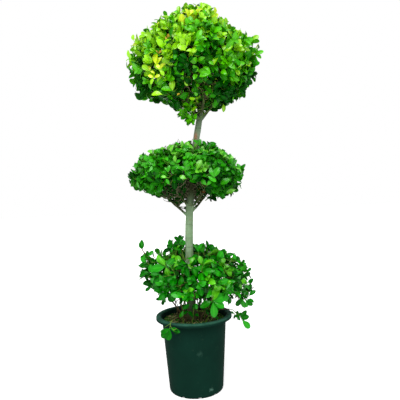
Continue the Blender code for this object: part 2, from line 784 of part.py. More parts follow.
def main():
    clear_scene()
    plastic = material("pot_plastic", (0.0075, 0.033, 0.023), 0.38)
    earth = material("soil", (0.030, 0.028, 0.013), 0.95)
    bark = material("bark", (0.165, 0.235, 0.130), 0.70)
    top_leaves = material("top_leaves", (0.150, 0.430, 0.015), 0.45)
    middle_leaves = material("middle_leaves", (0.045, 0.260, 0.018), 0.45)
    shoot_leaves = material("shoot_leaves", (0.030, 0.200, 0.016), 0.45)

    pot = make_pot(plastic)
    soil = make_soil(earth)

    trunk = trunk_limb()
    vertices, faces = tube(trunk, TRUNK_SIDES)
    trunk_object = add_object("trunk", flared(vertices, trunk), faces, bark)
    collars = bpy.data.collections.new("collars")
    bpy.context.scene.collection.children.link(collars)
    solid_limbs = []
    neighbours = [tree_of_object(pot), tree_of_object(soil)]

    def grow_bough(name, height, azimuth, climb, tip, arrive, radius, tip_radius):
        """A bough from a collar on the trunk to its tip, which its mass's stub meets."""
        way = way_of(azimuth, climb)
        stub, end = collar(trunk, height, way, radius)
        add_object("collar", *tube(stub, BOUGH_SIDES), None, collars)
        points, tangents = bezier(end + way * GAP, way, tip, arrive, BOUGH_RINGS)
        bough = Limb(points, tangents, tapering(radius, tip_radius, BOUGH_RINGS + 1))
        solid_limbs.append(bough)
        add_object(name, *tube(bough, BOUGH_SIDES), bark)
        return tip, arrive.normalized(), tip_radius

    def grow_fork(head, name, forks, climb, arrive_climb, below, radii):
        """The boughs under a head, whose tips its core's stubs meet."""
        axis = Vector((head.heart.x, head.heart.y, 0))
        tips = []
        for k, fork in enumerate(forks):
            height = underside(head, fork.tip_radius) - below
            tips.append(
                grow_bough(
                    f"{name}_{k + 1}", fork.height, fork.azimuth, climb,
                    at(fork.azimuth, fork.tip_radius, height) + axis,
                    way_of(fork.azimuth, arrive_climb), *radii,
                )
            )
        return tips

    top_tips = grow_fork(TOP_HEAD, "top_bough", TOP_FORKS, 46, 60, 0.022, TOP_BOUGH_RADII)
    leader_start = trunk.points[-1] + trunk.tangents[-1] * GAP
    leader_tip = Vector((0.056, 0.004, underside(TOP_HEAD, 0) - 0.022))
    points, tangents = bezier(leader_start, trunk.tangents[-1], leader_tip, UP, BOUGH_RINGS)
    radii = tapering(trunk.radii[-1], LEADER_TIP_RADIUS, BOUGH_RINGS + 1)
    leader = Limb(points, tangents, radii)
    solid_limbs.append(leader)
    add_object("top_leader", *tube(leader, 9), bark)
    top_tips.append((leader_tip, UP, LEADER_TIP_RADIUS))

    middle_tips = grow_fork(
        MIDDLE_HEAD, "middle_bough", MIDDLE_FORKS, 42, 58, 0.016, MIDDLE_BOUGH_RADII
    )

    apply_boolean(trunk_object, "UNION", "EXACT", collection=collars)
    remove_collection(collars)
    neighbours.append(tree_of_object(trunk_object))

    shoot_tips = []
    for shoot in SHOOTS:
        foot = at(shoot.foot_azimuth, shoot.foot_radius, SOIL_TOP + GAP)
        centre = at(shoot.azimuth, shoot.radius, shoot.height)
        out = (centre - foot).normalized()
        tip = foot.lerp(centre, 0.50) + UP * 0.012
        points, tangents = bezier(foot, UP, tip, (out + UP * 0.35).normalized(), BOUGH_RINGS)
        limb = Limb(points, tangents, tapering(SHOOT_RADIUS, SHOOT_TIP_RADIUS, BOUGH_RINGS + 1))
        solid_limbs.append(limb)
        add_object(f"shoot_{shoot.name}", *tube(limb, BOUGH_SIDES), bark)
        shoot_tips.append((tip, tangents[-1], centre))
    for shoot in TRAILERS:
        foot = at(shoot.foot_azimuth, shoot.foot_radius, SOIL_TOP + GAP)
        centre = at(shoot.azimuth, shoot.radius, shoot.height)
        tip = at(shoot.azimuth, RIM_RADIUS - 0.004, POT_HEIGHT + RIM_CROSSING_HEIGHT)
        level = way_of(shoot.azimuth, -12)
        points, tangents = bezier(foot, UP, tip, level, BOUGH_RINGS + 2)
        limb = Limb(points, tangents, tapering(TRAILER_RADIUS, TRAILER_TIP_RADIUS, BOUGH_RINGS + 3))
        solid_limbs.append(limb)
        add_object(f"shoot_{shoot.name}", *tube(limb, BOUGH_SIDES), bark)
        shoot_tips.append((tip, tangents[-1], centre))

    neighbours += [tree_of(*tube(limb, BOUGH_SIDES)) for limb in solid_limbs]
    make_head(TOP_HEAD, "top_head", 48, -0.93, top_tips, neighbours, top_leaves, 3, trunk)
    make_head(MIDDLE_HEAD, "middle_head", 36, -0.88, middle_tips, neighbours, middle_leaves, 5, trunk)

    everyone = SHOOTS + TRAILERS
    centres = [centre for _, _, centre in shoot_tips]
    spans = [shoot.reach for shoot in everyone]
    for k, shoot in enumerate(everyone):
        tip, arrive, centre = shoot_tips[k]
        tools = (shoot_leaves, neighbours, own_space(k, centres, spans))
        hanging = shoot in TRAILERS
        make_loose_mass(
            f"leaves_{shoot.name}", tip, arrive, centre, shoot.reach,
            SHOOT_LEAF * (0.75 if hanging else 1.0), 2 if hanging else 7, tools,
            random.Random(20 + k),
        )


main()
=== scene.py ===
# %% [markdown]
# # Potted three-tier topiary
# A small-leaved fig has been trained on one bare stem. Two tiers are clipped, a round head and a flat
# head, and loose shoots rise from its foot in a green nursery pot. The solids of the plant are loaded
# first. They give its sizes, and each is then replaced by a finished piece in the same place.

# %% Load the solids
import math
import random
from collections import namedtuple

import bpy
import numpy as np
from mathutils import Matrix, Vector, noise


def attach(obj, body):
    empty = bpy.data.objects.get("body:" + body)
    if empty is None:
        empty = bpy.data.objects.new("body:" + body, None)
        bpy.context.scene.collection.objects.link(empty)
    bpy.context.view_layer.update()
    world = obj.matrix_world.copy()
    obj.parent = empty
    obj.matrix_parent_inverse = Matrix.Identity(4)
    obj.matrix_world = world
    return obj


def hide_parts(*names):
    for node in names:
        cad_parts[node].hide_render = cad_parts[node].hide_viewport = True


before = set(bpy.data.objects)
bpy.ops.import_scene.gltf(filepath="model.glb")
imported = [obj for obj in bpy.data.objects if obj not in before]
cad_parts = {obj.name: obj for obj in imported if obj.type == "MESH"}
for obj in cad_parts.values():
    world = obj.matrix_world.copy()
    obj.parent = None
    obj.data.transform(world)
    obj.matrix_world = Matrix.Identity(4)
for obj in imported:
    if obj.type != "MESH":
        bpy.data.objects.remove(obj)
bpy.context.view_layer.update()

# %% [markdown]
# Every operator works on what is selected, and loading leaves the solids selected. So one helper clears
# the selection and takes only what is named, and another adds a modifier and applies it.


# %% Helpers for operators
def take(*things):
    """Makes these the only selected objects, and the first of them the active one."""
    for other in list(bpy.context.selected_objects):
        other.select_set(False)
    for thing in things:
        thing.select_set(True)
    if things:
        bpy.context.view_layer.objects.active = things[0]


def modify(thing, kind, **values):
    """Adds a modifier with these values and applies it at once."""
    take(thing)
    modifier = thing.modifiers.new(kind.title(), kind)
    for name, value in values.items():
        setattr(modifier, name, value)
    bpy.ops.object.modifier_apply(modifier=modifier.name)


def smooth(thing, degrees):
    take(thing)
    bpy.ops.object.shade_smooth_by_angle(angle=math.radians(degrees))


def settle(thing, slot_name, surface, *nodes):
    """Gives a finished piece its material, its place in the frame and the solids that it stands for."""
    if surface:
        thing.data.materials.clear()
        thing.data.materials.append(surface)
    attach(thing, "root")
    if nodes:
        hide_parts(*nodes)
    print(thing.name, "triangles:", sum(len(face.vertices) - 2 for face in thing.data.polygons))


# %% [markdown]
# The finishes share a few effects, and each is a node group with named sockets, so that a material can
# use it at its own size and strength. Patches break up an even colour, grain gives a fine relief, and
# spot marks one ragged place for a scuff. The last kind reads a number kept at each corner of a mesh,
# such as how dark the bark is there, or how near a leaf's midrib.


# %% Helpers for nodes
def add_node(tree, kind, *feeds, **values):
    """Adds a shader node. Its inputs are filled in order by feeds, or by name by values, which may also
    name its settings. What fills an input is a number, a colour, or a socket to link."""
    node = tree.nodes.new("ShaderNode" + kind)
    filled = []
    for name, value in values.items():
        label = name.replace("_", " ")
        if label in node.inputs:
            filled.append((node.inputs[label], value))
        else:
            setattr(node, name, value)
    for socket, value in [*zip(node.inputs, feeds), *filled]:
        if isinstance(value, bpy.types.NodeSocket):
            tree.links.new(value, socket)
        else:
            socket.default_value = value
    return node


def own_place(tree):
    """The place on a piece, in its own Object coordinates."""
    return add_node(tree, "TexCoord").outputs["Object"]


def new_group(name, output, **inputs):
    """An empty group with number inputs, each with its default, and one number as its output."""
    group = bpy.data.node_groups.new(name, "ShaderNodeTree")
    for label, default in inputs.items():
        socket = group.interface.new_socket(label, in_out="INPUT", socket_type="NodeSocketFloat")
        socket.default_value = default
    group.interface.new_socket(output, in_out="OUTPUT", socket_type="NodeSocketFloat")
    given = group.nodes.new("NodeGroupInput").outputs
    result = group.nodes.new("NodeGroupOutput").inputs[output]
    return group, given, result


# %% Shared effects as node groups
patches, given, result = new_group("patches", "Mask", Scale=20.0, Cover=0.5, Edge=0.15)
cloud = add_node(
    patches, "TexNoise", Vector=own_place(patches), Scale=given["Scale"], Detail=5.0, Roughness=0.62
)
low = add_node(patches, "Math", given["Cover"], given["Edge"], operation="SUBTRACT")
high = add_node(patches, "Math", given["Cover"], given["Edge"], operation="ADD")
mask = add_node(patches, "MapRange", cloud.outputs["Fac"], low.outputs[0], high.outputs[0])
patches.links.new(mask.outputs["Result"], result)

grain, given, result = new_group("grain", "Height", Scale=300.0, Stretch=1.0)
split = add_node(grain, "SeparateXYZ", own_place(grain)).outputs
squeeze = add_node(grain, "Math", split["Z"], given["Stretch"], operation="MULTIPLY")
merge = add_node(grain, "CombineXYZ", split["X"], split["Y"], squeeze.outputs[0])
fine = add_node(
    grain, "TexNoise", Vector=merge.outputs[0], Scale=given["Scale"], Detail=4.0, Roughness=0.55
)
grain.links.new(fine.outputs["Fac"], result)

spot, given, result = new_group("spot", "Mask", X=0.0, Y=0.0, Z=0.0, Size=0.01)
place = own_place(spot)
centre = add_node(spot, "CombineXYZ", given["X"], given["Y"], given["Z"])
away = add_node(spot, "VectorMath", place, centre.outputs[0], operation="DISTANCE")
share = add_node(spot, "Math", away.outputs["Value"], given["Size"], operation="DIVIDE")
ragged = add_node(spot, "TexNoise", Vector=place, Scale=150.0, Detail=3.0)
fade = add_node(
    spot, "Math", ragged.outputs["Fac"], share.outputs[0], operation="SUBTRACT", use_clamp=True
)
spot.links.new(fade.outputs[0], result)


def number_group(attribute):
    """A group that reads a number kept at each corner of a mesh, and spreads it from Low to 1."""
    group, given, result = new_group(attribute, "Mask", Low=0.0)
    number = add_node(group, "Attribute", attribute_name=attribute)
    spread = add_node(group, "MapRange", number.outputs["Fac"], given["Low"])
    group.links.new(spread.outputs["Result"], result)
    return group


midrib, leaf_tone = number_group("rib"), number_group("tone")
print("node groups:", [group.name for group in (patches, grain, spot, midrib, leaf_tone)])

# %% [markdown]
# A material starts from one plain colour, given as the eye sees it, from 0 to 255. Where the real finish
# varies, the colour is mixed towards a second one by a mask, and the grain group drives a small bump.


# %% Helpers for materials
def linear(colour):
    """A colour as the eye sees it, turned into the linear values that shaders use."""
    return tuple(c / 255 / 12.92 if c <= 10 else ((c / 255 + 0.055) / 1.055) ** 2.4 for c in colour)


def shader_inputs(material):
    return material.node_tree.nodes["Principled BSDF"].inputs


def plain_material(name, colour, roughness, specular):
    made = bpy.data.materials.new(name)
    made.use_nodes = True
    made.diffuse_color = (*linear(colour), 1)
    shader_inputs(made)["Base Color"].default_value = (*linear(colour), 1)
    shader_inputs(made)["Roughness"].default_value = roughness
    shader_inputs(made)["Specular IOR Level"].default_value = specular
    return made


def use_group(material, group, **values):
    """Places a group in a material, with its own values, and returns the group's output."""
    return add_node(material.node_tree, "Group", node_tree=group, **values).outputs[0]


def blend(material, mask, colour, strength, kind="MIX"):
    """Mixes the material's colour so far with another, by a mask."""
    tree, base = material.node_tree, shader_inputs(material)["Base Color"]
    so_far = base.links[0].from_socket if base.is_linked else base.default_value
    fade = add_node(tree, "Math", mask, strength, operation="MULTIPLY")
    mix = add_node(
        tree, "Mix", data_type="RGBA", blend_type=kind,
        Factor=fade.outputs[0], A=so_far, B=(*linear(colour), 1),
    )
    tree.links.new(mix.outputs["Result"], base)


def mottle(material, colour, scale, cover, edge, strength):
    """Mixes the colour so far towards another, in patches."""
    blend(material, use_group(material, patches, Scale=scale, Cover=cover, Edge=edge), colour, strength)


def roughen(material, scale, distance, stretch=1.0, strength=1.0):
    """Drives the material's normal with fine grain. distance is the relief in metres."""
    tree = material.node_tree
    height = use_group(material, grain, Scale=scale, Stretch=stretch)
    bump = add_node(tree, "Bump", Height=height, Strength=strength, Distance=distance)
    tree.links.new(bump.outputs["Normal"], shader_inputs(material)["Normal"])


# %% [markdown]
# ## The pot
# A nursery pot is blown or pressed in one piece of thin dark green plastic. Its wall flares a little,
# and its rim rolls over into a lip that turns down outside. It could be turned from a drawn profile.
# Here it is thrown as a potter would: one disc is extruded upwards ring by ring and resized at each
# step, up the outside, over the rim and down the inside again. One disc gives one closed shell.

# %% Pot sizes
POT_HEIGHT = 0.320
POT_SEGMENTS = 96
RIM_RADIUS = 0.165
# Radius and height of each ring, up the outside, over the rim and down the inside
POT_PROFILE = [
    (0.1088, 0.0000), (0.1118, 0.0003), (0.1146, 0.0014), (0.1162, 0.0035), (0.1169, 0.0065),
    (0.1174, 0.0120), (0.1186, 0.0280), (0.1187, 0.0300), (0.1243, 0.1030), (0.1298, 0.1750),
    (0.1353, 0.2470), (0.1389, 0.2960), (0.1393, 0.3020), (0.1404, 0.3060), (0.1430, 0.3095),
    (0.1470, 0.3118), (0.1535, 0.3136), (0.1590, 0.3144), (0.1612, 0.3135), (0.1620, 0.3110),
    (0.1620, 0.3058), (0.1628, 0.3050), (0.1642, 0.3050), (0.1650, 0.3058), (0.1650, 0.3140),
    (0.1645, 0.3166), (0.1632, 0.3187), (0.1608, 0.3199), (0.1570, 0.3200), (0.1500, 0.3196),
    (0.1462, 0.3190), (0.1440, 0.3174), (0.1425, 0.3145), (0.1410, 0.3110), (0.1380, 0.3060),
    (0.1362, 0.3000), (0.1346, 0.2850), (0.1278, 0.1750), (0.1138, 0.0085),
]
print("pot rings:", len(POT_PROFILE))

# %% Throw the pot
take()
bpy.ops.mesh.primitive_circle_add(
    vertices=POT_SEGMENTS, radius=POT_PROFILE[0][0], fill_type="NGON", location=(0, 0, 0)
)
pot = bpy.context.object
pot.name = "pot_shell"
bpy.ops.object.mode_set(mode="EDIT")
bpy.ops.mesh.select_all(action="SELECT")
for (radius, height), (new_radius, new_height) in zip(POT_PROFILE, POT_PROFILE[1:]):
    bpy.ops.mesh.extrude_region_move(TRANSFORM_OT_translate={"value": (0, 0, new_height - height)})
    share = new_radius / radius
    bpy.ops.transform.resize(value=(share, share, 1), center_override=(0, 0, new_height))
bpy.ops.mesh.select_all(action="SELECT")
bpy.ops.mesh.normals_make_consistent(inside=False)
bpy.ops.object.mode_set(mode="OBJECT")
print("pot size:", [round(d, 4) for d in pot.dimensions])

# %% [markdown]
# Water leaves through slots pressed into the foot, and two of them show as small notches at the front.
# They are cut a few millimetres taller than in the solids, so that they show from so far away. Each is
# cut with a rounded block, and all the blocks are one object, so one Boolean cuts them all.

# %% Drain slots
DRAIN_SLOTS = 10
DRAIN_AZIMUTH = 25.5
DRAIN_RADIUS = 0.111
# The block's length towards the pot's middle, its width, and twice the height of the slot
DRAIN_BLOCK = (0.030, 0.014, 0.0124)
blocks = []
for k in range(DRAIN_SLOTS):
    turn = math.radians(DRAIN_AZIMUTH + 360 * k / DRAIN_SLOTS)
    middle = (DRAIN_RADIUS * math.cos(turn), DRAIN_RADIUS * math.sin(turn), 0)
    take()
    bpy.ops.mesh.primitive_cube_add(size=1, location=middle, rotation=(0, 0, turn))
    block = bpy.context.object
    block.scale = DRAIN_BLOCK
    bpy.ops.object.transform_apply(location=True, rotation=True, scale=True)
    blocks = [block, *blocks]
take(*blocks)
bpy.ops.object.join()
drains = bpy.context.object
modify(drains, "BEVEL", width=0.0016, segments=2)
modify(pot, "BOOLEAN", operation="DIFFERENCE", solver="EXACT", object=drains)
bpy.data.objects.remove(drains)
smooth(pot, 30)
print("pot after its slots:", len(pot.data.polygons), "faces")

# %% [markdown]
# The plastic is matt and almost black, with a cool dark green in it. A film of dust and splashed soil
# makes it a little paler in patches. The top of the rim is paler still, partly from dust and partly
# from a painted sheen. Two scuffs show at the front.

# %% Pot finish
# The middle, the size and the strength of each scuff
SCUFFS = [((0.0624, -0.1013, 0.030), 0.021, 0.60), ((0.0216, -0.129, 0.189), 0.027, 0.12)]
plastic = plain_material("pot_plastic", (12, 38, 30), 0.54, 0.008)
mottle(plastic, (14, 46, 36), 9.0, 0.56, 0.16, 0.55)
mottle(plastic, (44, 70, 54), 46.0, 0.66, 0.05, 0.18)
tree = plastic.node_tree
# The top of the rim is mixed paler in patches: partly dust, partly a painted sheen
height = add_node(tree, "SeparateXYZ", own_place(tree)).outputs["Z"]
rise = add_node(tree, "MapRange", height, 0.3110, 0.3195)
rim_patches = use_group(plastic, patches, Scale=30.0, Cover=0.42, Edge=0.25)
dust_and_sheen = add_node(tree, "Math", rise.outputs["Result"], rim_patches, operation="MULTIPLY")
blend(plastic, dust_and_sheen.outputs[0], (58, 108, 88), 0.85)
for (x, y, z), size, strength in SCUFFS:
    blend(plastic, use_group(plastic, spot, X=x, Y=y, Z=z, Size=size), (120, 170, 150), strength)
roughen(plastic, 420.0, 0.00012)
settle(pot, "pot", plastic, "pot")

# %% [markdown]
# ## The potting mix
# The pot is filled to a little below its rim with a dark crumbly mix. A short cylinder is remeshed to
# even squares, and two Displace modifiers raise clods on its top only, through a vertex group. Bark
# chips, straws and crumbs are then scattered on it.

# %% Soil block
SOIL_TOP = 0.298
SOIL_RADIUS = 0.136
SOIL_DEPTH = 0.030
take()
bpy.ops.mesh.primitive_cylinder_add(
    vertices=96, radius=SOIL_RADIUS, depth=SOIL_DEPTH, location=(0, 0, SOIL_TOP - SOIL_DEPTH / 2)
)
soil = bpy.context.object
soil.name = "potting_mix"
bpy.ops.object.transform_apply(location=True, rotation=False, scale=False)
modify(soil, "REMESH", mode="VOXEL", voxel_size=0.0022)
upper = soil.vertex_groups.new(name="upper")
upper.add([v.index for v in soil.data.vertices if v.co.z > SOIL_TOP - 0.004], 1.0, "REPLACE")
for name, size, strength in (("mounds", 0.035, 0.012), ("clods", 0.009, 0.0065)):
    texture = bpy.data.textures.new(name, "CLOUDS")
    texture.noise_scale = size
    texture.noise_depth = 2
    modify(
        soil, "DISPLACE", texture=texture, strength=strength, mid_level=0.55, direction="Z",
        vertex_group="upper", texture_coords="LOCAL",
    )
smooth(soil, 60)
print("soil block:", len(soil.data.polygons), "faces")

# %% Soil finish
earth = plain_material("potting_mix", (30, 42, 16), 0.95, 0.1)
mottle(earth, (66, 80, 38), 70.0, 0.58, 0.08, 0.8)
mottle(earth, (34, 106, 12), 24.0, 0.41, 0.12, 0.95)
roughen(earth, 700.0, 0.0012)
settle(soil, "soil", earth, "soil")

# %% [markdown]
# Hundreds of small pieces lie on the mix. Adding each by an operator would be slow, so their corners
# are worked out as arrays and joined into one mesh for each kind. First, the height of the mix at any
# place is read from its own mesh, so that every chip rests on it.


# %% Ground height and joined meshes
def soil_height(x, y):
    hit, where, _, _ = soil.ray_cast(Vector((x, y, SOIL_TOP + 0.1)), Vector((0, 0, -1)))
    return where.z if hit else SOIL_TOP


def joined(name, vertices, faces):
    """One object from arrays of corners and faces."""
    mesh = bpy.data.meshes.new(name)
    mesh.from_pydata(vertices, [], faces)
    mesh.update()
    made = bpy.data.objects.new(name, mesh)
    bpy.context.scene.collection.objects.link(made)
    return made


CHIP_CORNERS = np.array([(x, y, z) for x in (-1, 1) for y in (-1, 1) for z in (-1, 1)], float)
CHIP_FACES = [(0, 1, 3, 2), (4, 6, 7, 5), (0, 4, 5, 1), (2, 3, 7, 6), (0, 2, 6, 4), (1, 5, 7, 3)]


def scatter(name, count, smallest, largest, tilt, seed):
    """Uneven little blocks, each lying on the potting mix at its own turn and tilt."""
    chance = random.Random(seed)
    vertices, faces = [], []
    for _ in range(count):
        radius = (SOIL_RADIUS - 0.006) * math.sqrt(chance.random())
        turn = chance.uniform(0, math.tau)
        x, y = radius * math.cos(turn), radius * math.sin(turn)
        size = np.array([chance.uniform(a, b) for a, b in zip(smallest, largest)]) / 2
        corners = CHIP_CORNERS * size * np.array([[chance.uniform(0.6, 1.1)] for _ in range(8)])
        spin = Matrix.Rotation(chance.uniform(0, math.tau), 3, "Z")
        lean = Matrix.Rotation(chance.gauss(0, tilt), 3, "X")
        lean = lean @ Matrix.Rotation(chance.gauss(0, tilt), 3, "Y")
        corners = corners @ np.array(spin @ lean).T
        corners += np.array((x, y, soil_height(x, y) + size[2] * 0.5))
        faces += [tuple(len(vertices) + i for i in face) for face in CHIP_FACES]
        vertices += corners.tolist()
    return joined(name, vertices, faces)


# %% Chips, straws and crumbs
# Name, number, smallest and largest size, tilt, seed, colour and roughness
LITTER = [
    ("bark_chips", 260, (0.005, 0.003, 0.0012), (0.015, 0.007, 0.003), 0.35, 4, (104, 98, 60), 0.85),
    ("straws", 230, (0.012, 0.0010, 0.0008), (0.036, 0.0020, 0.0014), 0.22, 5, (196, 190, 128), 0.7),
    ("crumbs", 500, (0.0025, 0.002, 0.002), (0.006, 0.005, 0.004), 0.8, 6, (46, 58, 28), 0.95),
]
for name, *sizes_and_seed, colour, roughness in LITTER:
    settle(scatter(name, *sizes_and_seed), "soil", plain_material(name, colour, roughness, 0.2))

# %% [markdown]
# ## The growth rule
# The solids were grown from named sizes: the line of the trunk, the forks where its boughs leave it,
# and the clipped outline of each head as a table of distances from its heart. The same sizes are
# written here, so that the finer plant grows along the same limbs and stops at the same outline. Only
# the top head is drawn in by up to 2 cm in a few directions, where its edge is flatter than the solid's.

# %% Sizes shared with the solids
TRUNK_FOOT = 0.2983
# Each row of the trunk's line: its middle to the right and to the back, its height and its radius
TRUNK_LINE = [
    (-0.0088, 0.000, TRUNK_FOOT, 0.0202), (-0.0092, 0.002, 0.420, 0.0190), (-0.0095, 0.003, 0.600, 0.0182),
    (-0.0032, 0.001, 0.740, 0.0168), (0.0050, -0.002, 0.830, 0.0156), (0.0205, -0.003, 0.950, 0.0150),
    (0.0382, 0.000, 1.068, 0.0144), (0.0480, 0.001, 1.120, 0.0142), (0.0595, 0.002, 1.180, 0.0131),
    (0.0610, 0.003, 1.215, 0.0116),
]
Head = namedtuple("Head", "heart outline")


def make_head(heart, *rows):
    """A head round its heart. Each row of its outline is a climb in degrees, then how far the head reaches
    there on its left, on its right, and to the front or back, in millimetres."""
    return Head(heart, np.array(rows) / (1, 1000, 1000, 1000))


TOP_HEAD = make_head(
    Vector((0.050, 0.0, 1.415)),
    (-90, 245, 245, 245), (-75, 258, 232, 236), (-60, 226, 228, 226), (-48, 216, 246, 234),
    (-41, 196, 256, 240), (-36, 244, 272, 246), (-30, 306, 262, 252), (-18, 310, 273, 262),
    (-6, 312, 279, 266), (0, 303, 292, 266), (6, 286, 312, 264), (17, 298, 308, 254),
    (22, 302, 228, 250), (30, 266, 202, 244), (40, 234, 213, 236), (50, 222, 212, 236),
    (66, 258, 244, 246), (80, 256, 258, 254), (90, 251, 251, 251),
)
MIDDLE_HEAD = make_head(
    Vector((-0.006, 0.0, 0.935)),
    (-90, 110, 112, 110), (-54, 138, 156, 140), (-42, 164, 198, 168), (-36, 172, 212, 184),
    (-30, 190, 226, 202), (-24, 204, 234, 216), (-18, 230, 248, 230), (-12, 258, 252, 242),
    (-6, 264, 256, 250), (0, 258, 268, 252), (6, 248, 262, 246), (12, 238, 241, 234),
    (22, 219, 212, 210), (30, 188, 192, 188), (36, 168, 188, 176), (42, 158, 188, 168),
    (50, 153, 176, 160), (60, 152, 157, 153), (83, 143, 142, 143), (90, 142, 142, 142),
)
LOW_TIER = make_head(
    Vector((0.0, 0.0, 0.490)),
    (-90, 100, 100, 100), (-47, 160, 200, 180), (-37, 155, 265, 200), (-29, 160, 298, 215),
    (-21, 170, 302, 225), (-10, 214, 280, 230), (0, 222, 265, 232), (12, 243, 242, 230),
    (21, 250, 212, 222), (27, 236, 194, 206), (33, 186, 172, 180), (40, 164, 158, 164),
    (55, 170, 152, 162), (67, 206, 136, 165), (78, 200, 132, 160), (90, 150, 150, 150),
)
Fork = namedtuple("Fork", "azimuth height tip_radius")
TOP_FORKS = [
    Fork(4, 1.160, 0.135), Fork(148, 1.180, 0.120), Fork(292, 1.172, 0.125),
    Fork(76, 1.176, 0.115), Fork(220, 1.164, 0.130),
]
MIDDLE_FORKS = [
    Fork(182, 0.742, 0.135), Fork(12, 0.757, 0.120), Fork(319, 0.771, 0.130),
    Fork(97, 0.765, 0.125), Fork(234, 0.779, 0.120), Fork(149, 0.789, 0.130),
]
Shoot = namedtuple("Shoot", "name foot_azimuth foot_radius azimuth radius height reach")
SHOOTS = [
    Shoot("left", 175, 0.055, 182, 0.158, 0.490, 0.110),
    Shoot("upper_left", 120, 0.042, 158, 0.068, 0.570, 0.095),
    Shoot("upper_right", 20, 0.038, 0, 0.082, 0.535, 0.095),
    Shoot("right", 0, 0.070, 1, 0.180, 0.450, 0.110),
    Shoot("front_right", 300, 0.060, 298, 0.165, 0.415, 0.100),
    Shoot("front_left", 235, 0.055, 243, 0.155, 0.470, 0.105),
    Shoot("back_left", 140, 0.068, 119, 0.160, 0.475, 0.105),
    Shoot("back_right", 50, 0.060, 57, 0.165, 0.480, 0.105),
]
TRAILERS = [
    Shoot("over_rim_right", 8, 0.085, 0, 0.206, 0.292, 0.054),
    Shoot("over_rim_front", 262, 0.060, 238, 0.182, 0.302, 0.050),
]
print("forks:", len(TOP_FORKS) + len(MIDDLE_FORKS), "shoots:", len(SHOOTS) + len(TRAILERS))

# %% Directions and outlines
UP = Vector((0, 0, 1))
# The inner core of a head's solid, where the boughs end, as a share of its outline
CORE_SHARE = 0.70


def way_of(azimuth_degrees, climb_degrees):
    azimuth, climb = math.radians(azimuth_degrees), math.radians(climb_degrees)
    level = math.cos(climb)
    return Vector((level * math.cos(azimuth), level * math.sin(azimuth), math.sin(climb)))


def at(azimuth_degrees, radius, height):
    flat = way_of(azimuth_degrees, 0) * radius
    return Vector((flat.x, flat.y, height))


def clamp(number, low=0.0, high=1.0):
    return min(high, max(low, number))


def read(table, number, key, *columns):
    """Columns of a table, read between its rows where the key column has this number."""
    return [float(np.interp(number, table[:, key], table[:, column])) for column in columns]


def reach(head, way):
    """How far a head's clipped outline lies from its heart along a unit direction."""
    climb = math.degrees(math.asin(clamp(way.z, -1.0)))
    flat = math.hypot(way.x, way.y)
    across = way.x / flat if flat > 1e-6 else 0.0
    left, right, depth = read(head.outline, climb, 0, 1, 2, 3)
    side = right if across > 0 else left
    lump = noise.noise(way * 2.6 + head.heart * 10)
    return (depth + (side - depth) * across**4) * (1 + 0.06 * lump)


def underside(head, radius):
    """The height where a head's boughs end, at a distance from its middle."""
    edge = reach(head, way_of(90, -14)) * CORE_SHARE
    dome = max(0.0, 0.075 * CORE_SHARE * (1 - (radius / edge) ** 2))
    return head.heart.z - 0.055 * CORE_SHARE + dome


print("top of the clipped outline:", round(TOP_HEAD.heart.z + reach(TOP_HEAD, UP), 3))


# %% Smooth lines
def bezier(start, leave, end, arrive, steps, pull=0.38):
    """Points and tangents of a curve that leaves start one way and arrives at end another way."""
    span = (end - start).length * pull
    near, far = start + leave.normalized() * span, end - arrive.normalized() * span
    points, tangents = [], []
    for k in range(steps + 1):
        t, u = k / steps, 1 - k / steps
        points.append(start * u**3 + near * 3 * u * u * t + far * 3 * u * t * t + end * t**3)
        slope = (near - start) * u * u + (far - near) * 2 * u * t + (end - far) * t * t
        tangents.append(slope.normalized())
    return points, tangents


def catmull_rom(line, steps):
    """Smooth rows through the rows of a line."""
    rows = np.array([line[0], *line, line[-1]])
    made = []
    for p, q, r, s in zip(rows, rows[1:], rows[2:], rows[3:]):
        bend, twist = 2 * p - 5 * q + 4 * r - s, 3 * q - p - 3 * r + s
        for k in range(steps):
            t = k / steps
            made.append(0.5 * (2 * q + (r - p) * t + bend * t * t + twist * t**3))
    return np.array([*made, rows[-1]])


trunk = catmull_rom(TRUNK_LINE, 12)


def trunk_at(height):
    """The trunk's middle and radius at a height."""
    x, y, radius = read(trunk, height, 2, 0, 1, 3)
    return Vector((x, y, height)), radius


def on_bark(height, azimuth):
    """A place on the trunk's surface."""
    middle, radius = trunk_at(height)
    return middle + way_of(azimuth, 0) * radius


print("rows of the trunk's line:", len(trunk))

# %% [markdown]
# ## Trunk and boughs
# The stem is one living thing: each bough flows out of it through a swollen collar. Each limb is drawn
# as a curve whose bevel gives it thickness, with its own radius at each point. The curves become
# meshes, are joined, and a voxel remesh melts them into one skin, as bark grows over a fork.

# %% Limb lines
Limb = namedtuple("Limb", "points tangents radii")


def tapering(start, end, count):
    return [start + (end - start) * k / (count - 1) for k in range(count)]


def bough_limb(head, fork, climb, arrive_climb, below, radii, steps=14):
    """A bough from inside the trunk, through its collar, to its tip under the head."""
    way = way_of(fork.azimuth, climb)
    middle, trunk_radius = trunk_at(fork.height)
    length = (trunk_radius + radii[0] * way.z + 0.004) / math.hypot(way.x, way.y)
    end = middle + way * length
    tip = at(fork.azimuth, fork.tip_radius, underside(head, fork.tip_radius) - below)
    tip += Vector((head.heart.x, head.heart.y, 0))
    points, tangents = bezier(end, way, tip, way_of(fork.azimuth, arrive_climb), steps)
    return Limb([middle, *points], [way, *tangents], [radii[0] * 1.5, *tapering(*radii, steps + 1)])


